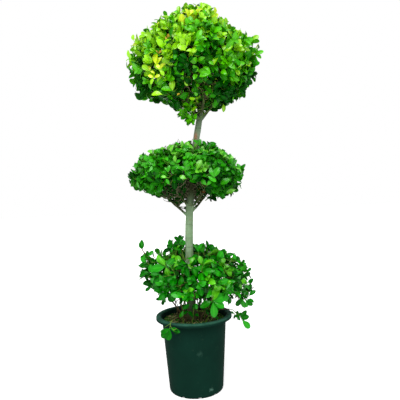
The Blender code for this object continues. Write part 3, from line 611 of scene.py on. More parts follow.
top_boughs = [bough_limb(TOP_HEAD, fork, 46, 60, 0.022, (0.0068, 0.0048)) for fork in TOP_FORKS]
middle_boughs = [bough_limb(MIDDLE_HEAD, fork, 42, 58, 0.016, (0.0052, 0.0038)) for fork in MIDDLE_FORKS]
trunk_points = [Vector(row[:3]) for row in trunk]
trunk_way = (trunk_points[-1] - trunk_points[-2]).normalized()
leader_tip = Vector((0.056, 0.004, underside(TOP_HEAD, 0) - 0.022))
points, tangents = bezier(trunk_points[-1], trunk_way, leader_tip, UP, 12)
leader = Limb(points, tangents, tapering(0.0115, 0.0075, 13))
print("boughs:", len(top_boughs) + len(middle_boughs) + 1)


# %% Draw the limbs as curves and melt them together
def limb_curve(name, points, radii):
    """A thick curve through the points, turned into a mesh."""
    take()
    bpy.ops.curve.primitive_nurbs_path_add(location=(0, 0, 0))
    drawn = bpy.context.object
    drawn.name = name
    drawn.data.splines.clear()
    line = drawn.data.splines.new("POLY")
    line.points.add(len(points) - 1)
    # The bevel is 1 mm thick, and each point's radius multiplies it
    for point, place, radius in zip(line.points, points, radii):
        point.co = (*place, 1)
        point.radius = radius * 1000
    drawn.data.bevel_depth = 0.001
    drawn.data.bevel_resolution = 6
    drawn.data.use_fill_caps = True
    bpy.ops.object.convert(target="MESH")
    return bpy.context.object


trunk_radii = [row[3] for row in trunk]
parts = [limb_curve("stem", trunk_points + leader.points[1:], trunk_radii + leader.radii[1:])]
for limb in top_boughs + middle_boughs:
    wobbled = list(limb.points)
    for k in range(2, len(wobbled) - 1):
        wobbled[k] = wobbled[k] + noise.noise_vector(wobbled[k] * 22) * 0.0022
    parts.append(limb_curve("bough", wobbled, limb.radii))
take(*parts)
bpy.ops.object.join()
stem = bpy.context.object
stem.name = "stem_and_boughs"
modify(stem, "REMESH", mode="VOXEL", voxel_size=0.0017)
modify(stem, "SMOOTH", factor=0.5, iterations=3)
print("stem before its bark:", len(stem.data.polygons), "faces")

# %% [markdown]
# The bark of a young fig is smooth, grey-green and finely ringed, with small knots where shoots were
# rubbed off. The relief is pushed out of the mesh itself along its normals: lobes at the root flare,
# soft waves, rings round the stem, and knots at a few places.

# %% Bark relief
# Height, azimuth and size of each knot
KNOTS = [
    (0.360, 250, 0.0040), (0.455, 60, 0.0030), (0.520, 200, 0.0035), (0.585, 300, 0.0032),
    (0.668, 265, 0.0030), (0.705, 20, 0.0035), (0.748, 215, 0.0048), (0.865, 280, 0.0030),
    (1.005, 240, 0.0030), (1.086, 250, 0.0042), (1.100, 90, 0.0030),
]
knots = [(on_bark(height, azimuth), size) for height, azimuth, size in KNOTS]
normals = [vertex.normal.copy() for vertex in stem.data.vertices]
for vertex, normal in zip(stem.data.vertices, normals):
    place = vertex.co
    x, y, z = place
    middle, radius = trunk_at(z)
    out = Vector((x - middle.x, y - middle.y, 0))
    push = 0.0007 * noise.noise(place * 60) + 0.00035 * noise.noise(Vector((x, y, z * 3)) * 110)
    if out.length < radius * 1.6 and z < 1.2:
        push += 0.00045 * max(0.0, noise.noise(Vector((x * 12, y * 12, z * 260))))
        for knot, size in knots:
            gap = (place - knot).length / size
            if gap < 3:
                swell = size * 0.45 * math.exp(-gap * gap)
                push += swell - size * 0.16 * math.exp(-((gap - 1.5) ** 2) * 3)
    vertex.co = place + normal * push
    if place.z < TRUNK_FOOT + 0.12 and out.length < 0.04:
        lobes = 0.8 + 0.2 * math.cos(5 * math.atan2(out.y, out.x))
        flare = 0.75 * lobes * math.exp(-max(0.0, place.z - TRUNK_FOOT) / 0.022)
        vertex.co += out * flare
smooth(stem, 60)
print("bark relief on", len(stem.data.vertices), "corners")

# %% [markdown]
# The stem is paler where light reaches it and darker in the shade of each head, and the boughs are
# darker still. The bark also weathers from green-grey to a browner grey as it rises. One number at each
# corner of the mesh says how dark the bark is there, another how weathered, and a third marks one
# reddish scar under the top head. The material reads all three.

# %% Bark shade
# How dark the stem is painted at each height: painted shade under the heads, and darker towards its foot
BARK_SHADE = np.array([
    (0.3, 0.95), (0.37, 0.7), (0.45, 0.25), (0.52, 0.0), (0.68, 0.0), (0.775, 0.3), (0.815, 0.7),
    (0.86, 1.0), (0.9, 1.0), (1.02, 0.25), (1.1, 0.25), (1.15, 0.6), (1.22, 1.0),
])
LEAF_RINGS = (0.612, 0.652, 0.711, 0.792, 1.035, 1.074, 1.128)
SCAR = on_bark(1.092, 250)


def keep_numbers(thing, name, values):
    """Keeps one number at each corner of a mesh, for a material to read."""
    thing.data.attributes.new(name, "FLOAT", "POINT").data.foreach_set("value", values)


def darkness(place):
    middle, radius = trunk_at(place.z)
    gap = math.hypot(place.x - middle.x, place.y - middle.y)
    on_stem = read(BARK_SHADE, place.z, 0, 1)[0]
    on_bough = clamp((gap - radius * 1.15) / 0.012)
    rings = sum(math.exp(-(((place.z - ring) / 0.0016) ** 2)) for ring in LEAF_RINGS)
    return min(1.0, max(on_stem, on_bough) + 0.35 * rings)


def scarred(place):
    return math.exp(-((((place - SCAR) * Vector((1, 1, 0.45))).length / 0.009) ** 2))


corners = [vertex.co for vertex in stem.data.vertices]
keep_numbers(stem, "darkness", [darkness(place) for place in corners])
keep_numbers(stem, "age", [clamp((place.z - 0.80) / 0.25) for place in corners])
keep_numbers(stem, "scar", [scarred(place) for place in corners])
print("three numbers kept at each of", len(corners), "corners of the stem")

# %% Bark finish
bark = plain_material("bark", (140, 174, 132), 0.72, 0.10)
mottle(bark, (164, 192, 156), 26.0, 0.54, 0.16, 0.7)
mottle(bark, (108, 134, 92), 14.0, 0.56, 0.14, 0.8)
mottle(bark, (150, 122, 88), 40.0, 0.66, 0.06, 0.6)
blend(bark, use_group(bark, number_group("age")), (146, 173, 144), 1.0)
blend(bark, use_group(bark, number_group("scar")), (176, 124, 96), 1.0)
# The darkness number multiplies the bark darker: painted shade, and the dark rings round the stem
blend(bark, use_group(bark, number_group("darkness")), (116, 108, 84), 1.0, "MULTIPLY")
roughen(bark, 340.0, 0.0009, 3.0, 0.8)
boughs_replaced = [f"top_bough_{k + 1}" for k in range(5)] + [f"middle_bough_{k + 1}" for k in range(6)]
settle(stem, "bark", bark, "trunk", "top_leader", *boughs_replaced)

# %% [markdown]
# ## Twigs
# Inside each head the boughs divide again and again. Three shells of points are spread evenly at
# growing shares of the outline, and each point is joined to the nearest bud of the wood inside it, by
# a curve that leaves along the older twig. So the whole head is one branching thing, and its last
# twigs end just inside the clipped outline.

# %% Buds and single twigs
GOLDEN_ANGLE = math.radians(137.5)


def nudge(chance, size):
    return Vector([chance.uniform(-size, size) for _ in range(3)])


def grow_twig(start, leave, end, arrive, radii, chance, steps=5):
    """A gently crooked twig."""
    points, tangents = bezier(start, leave, end, arrive, steps)
    bend = (end - start).length * 0.035
    for k in range(1, steps):
        points[k] += nudge(chance, bend)
    return Limb(points, tangents, tapering(*radii, steps + 1))


def buds_of(limbs, first, last=None):
    """Places along limbs where a twig may grow, each with the way that the limb runs there."""
    return [bud for limb in limbs for bud in list(zip(limb.points, limb.tangents))[first:last]]


def nearest_bud(buds, place, outward):
    """The bud that a new twig grows from: near, and not further out than the new twig's end."""
    def cost(bud):
        step = place - bud[0]
        return step.length * (1.6 - step.normalized().dot(outward))
    return min(buds, key=cost)


def clear_of_trunk(place, margin=0.004):
    middle, radius = trunk_at(place.z)
    return place.z > 1.215 or math.hypot(place.x - middle.x, place.y - middle.y) > radius + margin


def passes_trunk(twig, margin=0.004):
    return all(clear_of_trunk(place, margin) for place in twig.points[1:])


# %% Shells of twigs
def even_ways(count, lowest, head, chance):
    """Unit directions spread evenly over a head, from its top down to a lowest share of its drop."""
    spread, rise, drop = reach(head, way_of(90, 0)), reach(head, UP), reach(head, -UP)
    ways = []
    for k in range(count):
        height = 1 - (1 - lowest) * (k + 0.5) / count
        flat = way_of(math.degrees(k * GOLDEN_ANGLE), 0) * spread * math.sqrt(1 - height * height)
        way = (flat + UP * height * (rise if height > 0 else drop)).normalized()
        ways.append((way + nudge(chance, 1) * (0.9 / math.sqrt(count))).normalized())
    return ways


def anywhere(place):
    return True


def branch_head(head, limbs, shells, seed, first_bud=6, keep=anywhere):
    """Grows shell after shell. Returns the older twigs and the last shoots. Each shell has its number
    of twigs, its share of the outline, its lowest share of the head's drop, and a twig's radii."""
    chance = random.Random(seed)
    buds = buds_of(limbs, first_bud)
    older, fresh = [], []
    for count, share, lowest, radii in shells:
        older += fresh
        fresh = []
        for way in even_ways(count, lowest, head, chance):
            far = reach(head, way)
            hollow = 0.035 * max(0.0, noise.noise(way * 6.5 + head.heart * 3) + 0.1)
            far = far * share if share < 0.9 else far - chance.uniform(0.020, 0.046) - hollow
            end = head.heart + way * far
            if not clear_of_trunk(end, 0.012) or not keep(end):
                continue
            start, leave = nearest_bud(buds, end, way)
            rise = (way * 0.55 + UP * 0.75).normalized()
            twig = grow_twig(start, (leave + (end - start).normalized() * 1.2), end, rise, radii, chance)
            if passes_trunk(twig):
                fresh.append(twig)
        buds = [(twig.points[k], twig.tangents[k]) for twig in fresh for k in (-1, -2, 3)]
    return older, fresh


# %% [markdown]
# The shade under a head kills the twigs there. Their bare spurs stay on the boughs, and bare shoots fan
# up through the dark cone between the stem and the leaves, so these are grown too. A few tests keep the
# places open that show the stem, the boughs or the sky in front of the middle head.


# %% Bare twigs
def around(along, across, turn):
    """The direction at a turn round a twig, from one direction across it."""
    return across * math.cos(turn) + along.cross(across) * math.sin(turn)


def bare_spurs(limbs, count, length, radii, seed):
    """Short leafless twigs along the shaded stretch of each limb."""
    chance = random.Random(seed)
    made = []
    for limb in limbs:
        first = len(limb.points) // 4
        for _ in range(count):
            k = chance.randrange(first, len(limb.points))
            root, along = limb.points[k], limb.tangents[k]
            side = around(along, along.orthogonal().normalized(), chance.uniform(0, math.tau))
            way = (along * 0.6 + side * 0.9 + UP * 0.5).normalized()
            end = root + way * length * chance.uniform(0.45, 1.1)
            twig = grow_twig(root, way, end, (way + UP * 0.6).normalized(), radii, chance, 4)
            if passes_trunk(twig):
                made.append(twig)
    return made


def shaded_twigs(head, limbs, count, low, high, widest, seed):
    """Bare twigs that fan up from the stem and the boughs, and fill the shaded cone under a head."""
    chance = random.Random(seed)
    buds = buds_of(limbs, 2, -3)
    axis = Vector((head.heart.x, head.heart.y, 0))
    made = []
    for k in range(count):
        share = ((k + 0.5) / count) ** 0.75
        azimuth = math.degrees(k * GOLDEN_ANGLE) + chance.uniform(-12, 12)
        rise = chance.uniform(0.75 * share, 1.0)
        end = axis + at(azimuth, widest * share, low + (high - low) * rise)
        start, leave = nearest_bud(buds, end, way_of(azimuth, 40))
        if chance.random() < 0.35:
            middle, radius = trunk_at(start.z + 0.01)
            start = middle + way_of(azimuth, 0) * radius * 0.7
            leave = way_of(azimuth, 50)
        twig = grow_twig(start, leave, end, way_of(azimuth, 62), (0.0026, 0.0012), chance)
        if passes_trunk(twig, 0.0):
            made.append(twig)
    return made


# %% Tests of a place
def within(head, share):
    """A test that a place is inside a share of the head's clipped outline."""
    def inside(place):
        out = place - head.heart
        return out.length < reach(head, out.normalized()) * share
    return inside


def ending(twigs, test):
    """The twigs whose tips pass a test."""
    return [twig for twig in twigs if test(twig.points[-1])]


def beside_stem(place):
    """Whether a place leaves the upper stem in view where it enters the middle head."""
    middle, _ = trunk_at(place.z)
    return place.y > 0 or place.z > 0.89 or abs(place.x - middle.x) > 0.021


def clear_view(place):
    """Whether a place leaves the boughs under the front of the middle head in view."""
    lowest = 0.893 - 0.30 * max(0.0, -0.05 - place.x) - 0.75 * max(0.0, place.x - 0.03)
    return (place.y > -0.02 or place.z > lowest) and beside_stem(place)


def above_boughs(place):
    """Whether a place lies above the outer boughs under the middle head, and clear of the stem and of
    the gap on its left where the sky shows."""
    if place.x < 0:
        lowest = 0.762 + 0.84 * (-place.x - 0.02)
    else:
        lowest = 0.772 + 1.16 * (place.x - 0.018)
    sky = -0.043 < place.x < -0.018 and place.z < 0.812
    return place.z > lowest and not sky and beside_stem(place)


# %% Twigs of the two heads
top_older, top_last = branch_head(
    TOP_HEAD, top_boughs + [leader],
    [
        (36, 0.42, -0.80, (0.0042, 0.0030)),
        (140, 0.68, -0.90, (0.0029, 0.0019)),
        (480, 0.95, -0.95, (0.0018, 0.0010)),
    ],
    3,
)
middle_older, middle_last = branch_head(
    MIDDLE_HEAD, middle_boughs,
    [
        (36, 0.50, -0.60, (0.0034, 0.0025)),
        (110, 0.72, -0.72, (0.0025, 0.0017)),
        (380, 0.95, -0.84, (0.0017, 0.0010)),
    ],
    5, keep=clear_view,
)
print("top twigs:", len(top_older), len(top_last), "middle twigs:", len(middle_older), len(middle_last))

# %% Bare twigs of the two heads
left_and_right = [middle_boughs[k] for k in (0, 4, 1, 2)]
cone_fill = bare_spurs(left_and_right, 34, 0.062, (0.0019, 0.0009), 65)
cone_fill = [twig for twig in cone_fill if twig.points[-1].z > twig.points[0].z + 0.02]
top_spurs = bare_spurs(top_boughs + top_older[:90], 4, 0.075, (0.0017, 0.0008), 61)
top_spurs = ending(top_spurs, within(TOP_HEAD, 0.90))
top_shaded = shaded_twigs(TOP_HEAD, top_boughs, 170, 1.200, 1.320, 0.160, 63)
top_shaded = ending(top_shaded, within(TOP_HEAD, 0.92))
middle_spurs = bare_spurs(middle_boughs + middle_older[:60], 7, 0.065, (0.0016, 0.0008), 62)
middle_shaded = shaded_twigs(MIDDLE_HEAD, middle_boughs, 320, 0.790, 0.915, 0.145, 64)
chance = random.Random(66)
buds = buds_of(left_and_right, 3, 12)
for _ in range(210):
    end = Vector((chance.uniform(-0.100, 0.058), chance.uniform(-0.07, 0.05), chance.uniform(0.78, 0.875)))
    if above_boughs(end - UP * 0.008):
        start, leave = nearest_bud(buds, end, UP)
        cone_fill.append(grow_twig(start, leave + UP, end, UP, (0.0021, 0.0011), chance))
middle_shaded = [t for t in cone_fill + middle_shaded if all(beside_stem(p) for p in t.points[2:])]
print("bare twigs:", len(top_spurs), len(middle_spurs), "shaded:", len(top_shaded), len(middle_shaded))

# %% [markdown]
# The low shoots follow the rule of the solids too: each leaves the soil upright and bends out to its
# own place. From them the finer wood is grown as in the heads, out to the outline of the loose clump,
# but not low over the front of the soil, which stays open. A few sprays stand by themselves: they are
# given by the place where they start and the place of their tip. The two trailing shoots lean out
# over the rim and hang.


# %% Low shoots
def shoot_limbs(shoot, hanging=False):
    """The shoot's own limb, and the stem that runs on from it through its leaves."""
    foot = at(shoot.foot_azimuth, shoot.foot_radius, SOIL_TOP - 0.004)
    centre = at(shoot.azimuth, shoot.radius, shoot.height)
    if hanging:
        tip = at(shoot.azimuth, 0.161, POT_HEIGHT + 0.012)
        arrive, steps, radii, lift = way_of(shoot.azimuth, -12), 10, (0.0026, 0.0020), 0.1
        end, end_radii = centre, (0.0018, 0.0010)
    else:
        tip = foot.lerp(centre, 0.50) + UP * 0.012
        arrive = ((centre - foot).normalized() + UP * 0.35).normalized()
        steps, radii, lift = 8, (0.0044, 0.0030), 0.4
        end, end_radii = centre + (centre - tip).normalized() * shoot.reach * 0.2, (0.0029, 0.0016)
    limb = Limb(*bezier(foot, UP, tip, arrive, steps), tapering(*radii, steps + 1))
    out = (centre - tip).normalized()
    points, tangents = bezier(tip, limb.tangents[-1], end, (out + UP * lift).normalized(), 8)
    return limb, Limb(points, tangents, tapering(*end_radii, 9))


def open_soil(place):
    """Whether a place is clear of the pot and of the open view over the front of the soil."""
    if math.hypot(place.x, place.y) < RIM_RADIUS + 0.01 and place.z < POT_HEIGHT + 0.03:
        return False
    return not (place.y < -0.04 and abs(place.x - 0.01) < 0.12 and place.z < 0.43)


low_limbs, low_mains = [], []
for shoot in SHOOTS:
    limb, main = shoot_limbs(shoot)
    low_limbs.append(limb)
    low_mains.append(main)
low_older, low_last = branch_head(
    LOW_TIER, low_mains + [Limb(*(part[5:] for part in limb)) for limb in low_limbs],
    [(64, 0.66, -0.72, (0.0024, 0.0017)), (190, 0.95, -0.80, (0.0016, 0.0009))],
    41, 1, open_soil,
)
under_stems = []
chance = random.Random(43)
for k in range(22):
    azimuth, radius = k * math.degrees(GOLDEN_ANGLE), 0.030 + 0.0022 * k
    foot = at(azimuth, radius, SOIL_TOP - 0.004)
    end = at(azimuth + chance.uniform(-25, 25), radius * 1.3, chance.uniform(0.38, 0.46))
    under_stems.append(grow_twig(foot, UP, end, (end - foot).normalized(), (0.0022, 0.0012), chance, 7))
sprig = [Vector((-0.190, -0.020, 0.555)), Vector((-0.2135, -0.010, 0.619))]
low_mains.append(grow_twig(sprig[0], UP, sprig[1], UP, (0.0028, 0.0022), chance, 8))
print("low shoots:", len(low_limbs), "side twigs:", len(low_older), "leafy twigs:", len(low_last))


# %% Single sprays
def metres(millimetres):
    return Vector([value / 1000 for value in millimetres])


Spray = namedtuple("Spray", "tier start leave end leaves length shade")
# Each row, with lengths in millimetres: the tier, where the spray starts, the way that it leaves, where it
# ends, its number of leaves, their length and their shade
SPRAYS = [
    Spray("low", (50, -70, 300), (30, -10, 60), (98, -118, 372), 4, 46, -0.1),
    Spray("low", (-45, -85, 300), (0, -5, 90), (-42, -104, 362), 3, 34, -0.1),
    Spray("low", (-5, -80, 300), (5, -5, 90), (4, -100, 370), 4, 36, -0.1),
    Spray("low", (-48, -90, 380), (-20, -10, 90), (-94, -135, 555), 6, 44, 0.0),
    Spray("low", (-40, -80, 380), (5, -10, 90), (-35, -110, 530), 6, 42, -0.2),
    Spray("low", (-20, -78, 430), (20, -10, 60), (46, -110, 570), 6, 46, 0.1),
    Spray("low", (0, -70, 400), (30, -20, 70), (85, -120, 520), 7, 44, 0.0),
    Spray("low", (10, -40, 400), (-5, -20, 90), (4, -85, 500), 8, 44, -0.6),
    Spray("low", (-30, -45, 400), (5, -20, 90), (-22, -80, 470), 8, 42, -0.6),
    Spray("low", (-40, 0, 560), (-5, 5, 60), (-45, 5, 640), 8, 36, -0.3),
    Spray("low", (160, 0, 400), (60, 0, 30), (215, 0, 385), 7, 38, -0.2),
    Spray("low", (-30, 0, 590), (-10, 0, 60), (-44, 0, 638), 7, 40, 0.0),
    Spray("low", (-50, 0, 590), (-20, 0, 40), (-84, 0, 622), 7, 40, 0.1),
    Spray("low", (45, -60, 320), (20, -10, 80), (78, -108, 398), 8, 36, -0.6),
    Spray("low", (60, -60, 330), (20, -10, 80), (100, -100, 410), 8, 38, -0.3),
    Spray("middle", (40, -20, 1020), (20, -5, 50), (66, -25, 1052), 8, 34, 0.0),
    Spray("middle", (70, 4, 812), (40, -20, 20), (104, -20, 834), 8, 30, -0.6),
    Spray("middle", (78, 6, 824), (30, -30, 0), (100, -50, 830), 7, 30, -0.4),
    Spray("top", (-50, 0, 1545), (-20, 0, 60), (-66, -20, 1608), 10, 38, 0.1),
    Spray("top", (-60, -10, 1530), (-20, 0, 60), (-90, -30, 1588), 10, 38, 0.3),
    Spray("top", (-70, 0, 1520), (-20, 0, 60), (-104, 0, 1572), 9, 36, 0.0),
    Spray("low", (-35, 10, 540), (-5, 5, 60), (-38, -10, 622), 8, 36, -0.2),
    Spray("low", (-30, -10, 560), (-25, 5, 50), (-66, -10, 606), 7, 36, -0.1),
    Spray("top", (36, -12, 1170), (-60, -40, 0), (10, -35, 1172), 6, 36, 0.0),
    Spray("top", (38, -14, 1180), (-60, -40, 20), (-6, -45, 1192), 8, 40, 0.1),
    Spray("top", (40, -16, 1168), (-50, -50, 0), (26, -44, 1166), 6, 38, 0.1),
    Spray("top", (36, -10, 1186), (-60, -20, 20), (-22, -20, 1202), 7, 40, 0.0),
    Spray("top", (40, 6, 1172), (-60, 20, 0), (18, 22, 1166), 6, 36, -0.1),
    Spray("top", (34, 4, 1180), (-60, 10, 20), (-10, 0, 1196), 7, 40, -0.1),
    Spray("top", (40, -20, 1190), (-30, -30, 40), (20, -60, 1215), 6, 40, 0.0),
    Spray("top", (75, 0, 1190), (40, -10, 60), (98, -20, 1226), 7, 36, -0.5),
    Spray("top", (72, 4, 1200), (30, 10, 70), (76, 20, 1240), 7, 36, -0.5),
]
chance = random.Random(17)
spray_twigs = []
for spray in SPRAYS:
    start, end = metres(spray.start), metres(spray.end)
    arrive = (end - start).normalized() + UP * 0.3
    spray_twigs.append(grow_twig(start, Vector(spray.leave), end, arrive, (0.0021, 0.0010), chance, 6))
print("single sprays:", len(spray_twigs))

# %% Trailing shoots
hanging_limbs, hanging_twigs = [], []
for shoot in TRAILERS:
    limb, main = shoot_limbs(shoot, hanging=True)
    hanging_limbs.append(limb)
    hanging_twigs.append(main)
    for k, turn in ((3, 0.8), (5, -0.9)):
        root, along = main.points[k], main.tangents[k]
        lean = (along * 0.8 + along.cross(UP).normalized() * turn + UP * 0.1).normalized()
        end = root + lean * shoot.reach * 0.6
        hanging_twigs.append(grow_twig(root, lean, end, lean, (0.0012, 0.0008), chance))
print("hanging twigs:", len(hanging_twigs))

# %% [markdown]
# The eye knows a plant again by a few leaves that stand out of the rest: the bright young ones in front,
# the single leaf on a sprig at the upper left, and those that hang over the rim. They are given one by
# one. Each row is the place of a bud, then for each leaf how far its tip lies to the right of the bud
# and above it, in millimetres, and its shade. A twig joins each bud to the nearest wood inside it.

# %% Leaves that stand out
STANDOUTS = {
    "top": [
        ((13, -222, 1388), (-30, 32, 0.8), (6, 60, 0.6), (33, -1, 0.35)),
        ((45, -222, 1410), (43, 2, 0.3), (32, 20, 0.25)),
        ((-46, -152, 1255), (0, 43, 0.6), (-46, 14, 0.3)),
        ((-85, -150, 1243), (-47, 4, 0.5)),
        ((108, -200, 1305), (-29, 29, 0.3), (-49, 14, 0.25), (-44, -8, 0.1)),
        ((121, -205, 1335), (13, 37, 0.45), (-19, 17, 0.1)),
        ((175, -190, 1389), (21, 27, 0.4), (-15, 30, 0.45)),
        ((218, -150, 1370), (-7, 37, 0.3), (22, 28, 0.2)),
        ((294, 0, 1485), (37, 38, 0.4), (-17, 21, 0.3)),
        ((314, 0, 1440), (36, 16, 0.2), (26, -14, 0), (10, 31, 0.2)),
        ((-134, -150, 1339), (-32, 26, 0.5), (-7, 25, 0.9), (18, -9, 0.85)),
        ((-108, -160, 1359), (2, 49, 0.9), (26, 31, 0.9)),
        ((-92, -180, 1334), (24, 22, 0.9), (16, -24, 0.6), (-12, 26, 0.9)),
        ((-118, -160, 1310), (-16, -24, 0.5), (26, 6, 0.9), (-24, 10, 0.9)),
        ((-47, -140, 1509), (-3, 31, 0.8), (25, 9, 0.6), (-37, 8, 0.76)),
        ((-6, -120, 1528), (-6, 48, 0.5), (26, 30, 0.4)),
        ((-10, -60, 1608), (-3, 34, 0.76), (-25, 10, 0.1)),
        ((89, -60, 1610), (-23, 25, 0.5), (20, 27, 0.8)),
        ((123, -60, 1589), (20, 19, 0.35), (-16, 22, 0.1)),
        ((-214, -20, 1515), (-3, 29, 0.6)),
        ((165, -20, 1227), (-1, -34, 0.6)),
        ((23, -45, 1192), (23, 23, 0.4), (-23, 23, -0.05)),
        ((32, -40, 1158), (-34, 19, 0.15), (14, 26, 0.1), (-35, -5, 0.1)),
        ((-2, -40, 1173), (-30, 19, 0.1), (-18, -12, -0.1)),
        ((73, -10, 1202), (-7, 36, -0.2), (20, 12, -0.4)),
        ((88, 10, 1224), (6, 31, -0.4), (31, -6, -0.4)),
        ((-56, -170, 1455), (4, 24, 3.2), (-18, 12, 3.2)),
        ((-99, -155, 1405), (16, 16, 3.2), (-12, 18, 3.2)),
        ((-30, -140, 1240), (12, 10, 3.2)),
    ],
    "middle": [
        ((35, -30, 1025), (2, 35, 0.6), (-21, 16, 0.3)),
        ((38, -215, 928), (19, 42, 0.5)),
        ((-1, -220, 897), (-28, 13, 0.6)),
        ((-77, -210, 905), (-23, 7, 0.6)),
        ((-43, -190, 963), (-4, 29, 0.5), (18, 11, 0.3)),
        ((-73, -205, 925), (7, 29, 0.45), (-13, 20, 0.4)),
        ((-8, -215, 927), (-15, 22, 0.25), (21, 27, 0.4)),
        ((-70, -190, 878), (-13, 24, 0.2)),
        ((-214, -30, 914), (-39, 15, 0), (-31, -12, -0.1)),
        ((105, -200, 898), (-14, 44, 0.25), (21, 41, 0.25)),
        ((174, -160, 896), (-43, -23, 0.2)),
        ((197, -100, 852), (-40, -13, 0.48)),
        ((75, -190, 870), (-21, 25, 0.3), (19, 19, 0.3)),
        ((230, 0, 938), (19, 26, -0.1), (-14, 32, 0.2)),
        ((80, -40, 1037), (46, 18, 0), (-12, 31, -0.2)),
        ((52, -60, 852), (14, 14, 3.2), (-13, 12, 3.2), (18, -6, 3.2)),
        ((68, -70, 862), (16, 10, 3.2), (-4, 20, 3.2), (10, -14, 3.2)),
    ],
    "low": [
        ((-214, -10, 608), (1, 43, -0.05), (-7, 36, 0.1)),
        ((-184, -50, 584), (-3, 25, 0), (22, 22, 0.2)),
        ((-190, -60, 559), (-25, 22, 0.1), (-23, -7, 0)),
        ((-103, -130, 550), (-25, 37, 0.5), (34, 32, 0.4), (13, -42, 0.5), (-59, -8, 0.2)),
        ((-39, -120, 508), (8, 32, 0.42), (-8, -45, 0.42)),
        ((13, -120, 533), (-30, 19, 0.5), (44, 6, 0.3)),
        ((46, -110, 546), (-12, 39, 0.6), (16, 29, 0.2)),
        ((29, 0, 581), (0, 40, -0.1), (33, 38, -0.1)),
        ((80, 0, 590), (17, 27, 0), (39, 6, 0)),
        ((143, -20, 561), (36, 19, -0.2)),
        ((191, -30, 548), (-11, 28, 0.1), (23, -9, 0.2)),
        ((238, -10, 496), (19, 14, -0.2)),
        ((246, -10, 438), (15, 27, -0.1), (15, -8, -0.2)),
        ((242, -10, 389), (30, 24, -0.1)),
        ((205, -30, 388), (-21, -36, 0), (17, -44, 0.1), (-5, -29, -0.2)),
        ((230, -20, 377), (34, -12, 0.05), (26, -30, -0.2), (0, -36, 0.1)),
        ((81, -140, 404), (-51, -16, 0.3), (5, -67, 0.1), (28, 60, 0.6), (46, -27, 0.3), (58, 25, 0.1)),
        ((72, -120, 420), (13, 52, 0.3)),
        ((-40, -110, 367), (-17, -30, 0.35), (23, 23, -0.1)),
        ((15, -110, 363), (-3, 28, 0.25)),
        ((-125, -60, 404), (-5, -27, -0.3), (-32, -2, -0.3)),
        ((-173, -50, 455), (-29, -18, -0.1), (-33, 22, -0.3)),
        ((-179, -50, 504), (-31, 11, -0.2), (-20, -14, -0.2)),
        ((-52, -5, 628), (-12, 20, -0.1), (14, 18, 0.1), (-24, 4, 0), (20, -2, 0.1)),
        ((-78, -5, 608), (-22, 12, -0.1), (4, 22, 0), (-12, -18, 0.1)),
        ((-42, -10, 600), (10, 20, 0), (-24, 10, 0.1), (-16, -14, 0)),
        ((-47, 0, 638), (-26, 21, -0.2), (15, 23, -0.1), (-7, 16, -0.1)),
        ((-36, 0, 611), (-19, 24, 0), (7, 31, 0.1), (-35, -2, 0)),
        ((-87, 0, 605), (-35, -7, -0.3), (-7, 26, -0.1), (-19, 12, -0.1)),
        ((-94, -156, 307), (-11, -49, -0.05), (31, -11, 0.05), (-38, -14, -0.1), (-36, -38, -0.1)),
        ((-67, -156, 305), (11, -19, -0.1)),
        ((175, 0, 308), (-13, 15, -0.2), (-1, -19, -0.3), (22, -12, -0.1)),
        ((188, 0, 302), (12, -20, -0.2), (22, 12, 0), (4, 22, -0.2)),
        ((200, 0, 297), (31, 27, -0.1), (42, -2, -0.2), (-14, 12, -0.2)),
        ((208, 0, 284), (35, -39, 0.1)),
    ],
}
standouts = {
    tier: [
        (metres(bud), [(right / 1000, up / 1000, shade) for right, up, shade in tips])
        for bud, *tips in rows
    ]
    for tier, rows in STANDOUTS.items()
}
inner_wood = {
    "top": top_older + top_spurs, "middle": middle_older + middle_spurs,
    "low": low_limbs + low_mains + low_older + hanging_twigs,
}
chance = random.Random(18)
bud_twigs = {tier: [] for tier in STANDOUTS}
for tier, rows in standouts.items():
    buds = buds_of(inner_wood[tier], 2)
    for bud, _ in rows:
        middle, _ = trunk_at(bud.z)
        start, leave = nearest_bud(buds, bud, (bud - middle).normalized())
        arrive = (bud - start).normalized() + UP * 0.4
        bud_twigs[tier].append(grow_twig(start, leave + arrive, bud, arrive, (0.0018, 0.0012), chance))
print("buds that stand out:", {tier: len(twigs) for tier, twigs in bud_twigs.items()})

# %% [markdown]
# All the twigs of a tier are many small tapering tubes. Each has five or six sides, which is plain to see
# only from a hand's breadth away, and all are joined in one mesh.


# %% Twig meshes
def tubes(name, twigs, sides):
    vertices, faces = [], []
    for twig in twigs:
        first = len(vertices)
        across = twig.tangents[0].orthogonal().normalized()
        for centre, along, radius in zip(*twig):
            across = (across - along * across.dot(along)).normalized()
            for k in range(sides):
                vertices.append(centre + around(along, across, math.tau * k / sides) * radius)
        for low in range(first, len(vertices) - sides, sides):
            for k in range(sides):
                after = (k + 1) % sides
                faces.append((low + k, low + after, low + sides + after, low + sides + k))
        faces.append(tuple(first + k for k in reversed(range(sides))))
        faces.append(tuple(range(len(vertices) - sides, len(vertices))))
    made = joined(name, vertices, faces)
    smooth(made, 50)
    return made


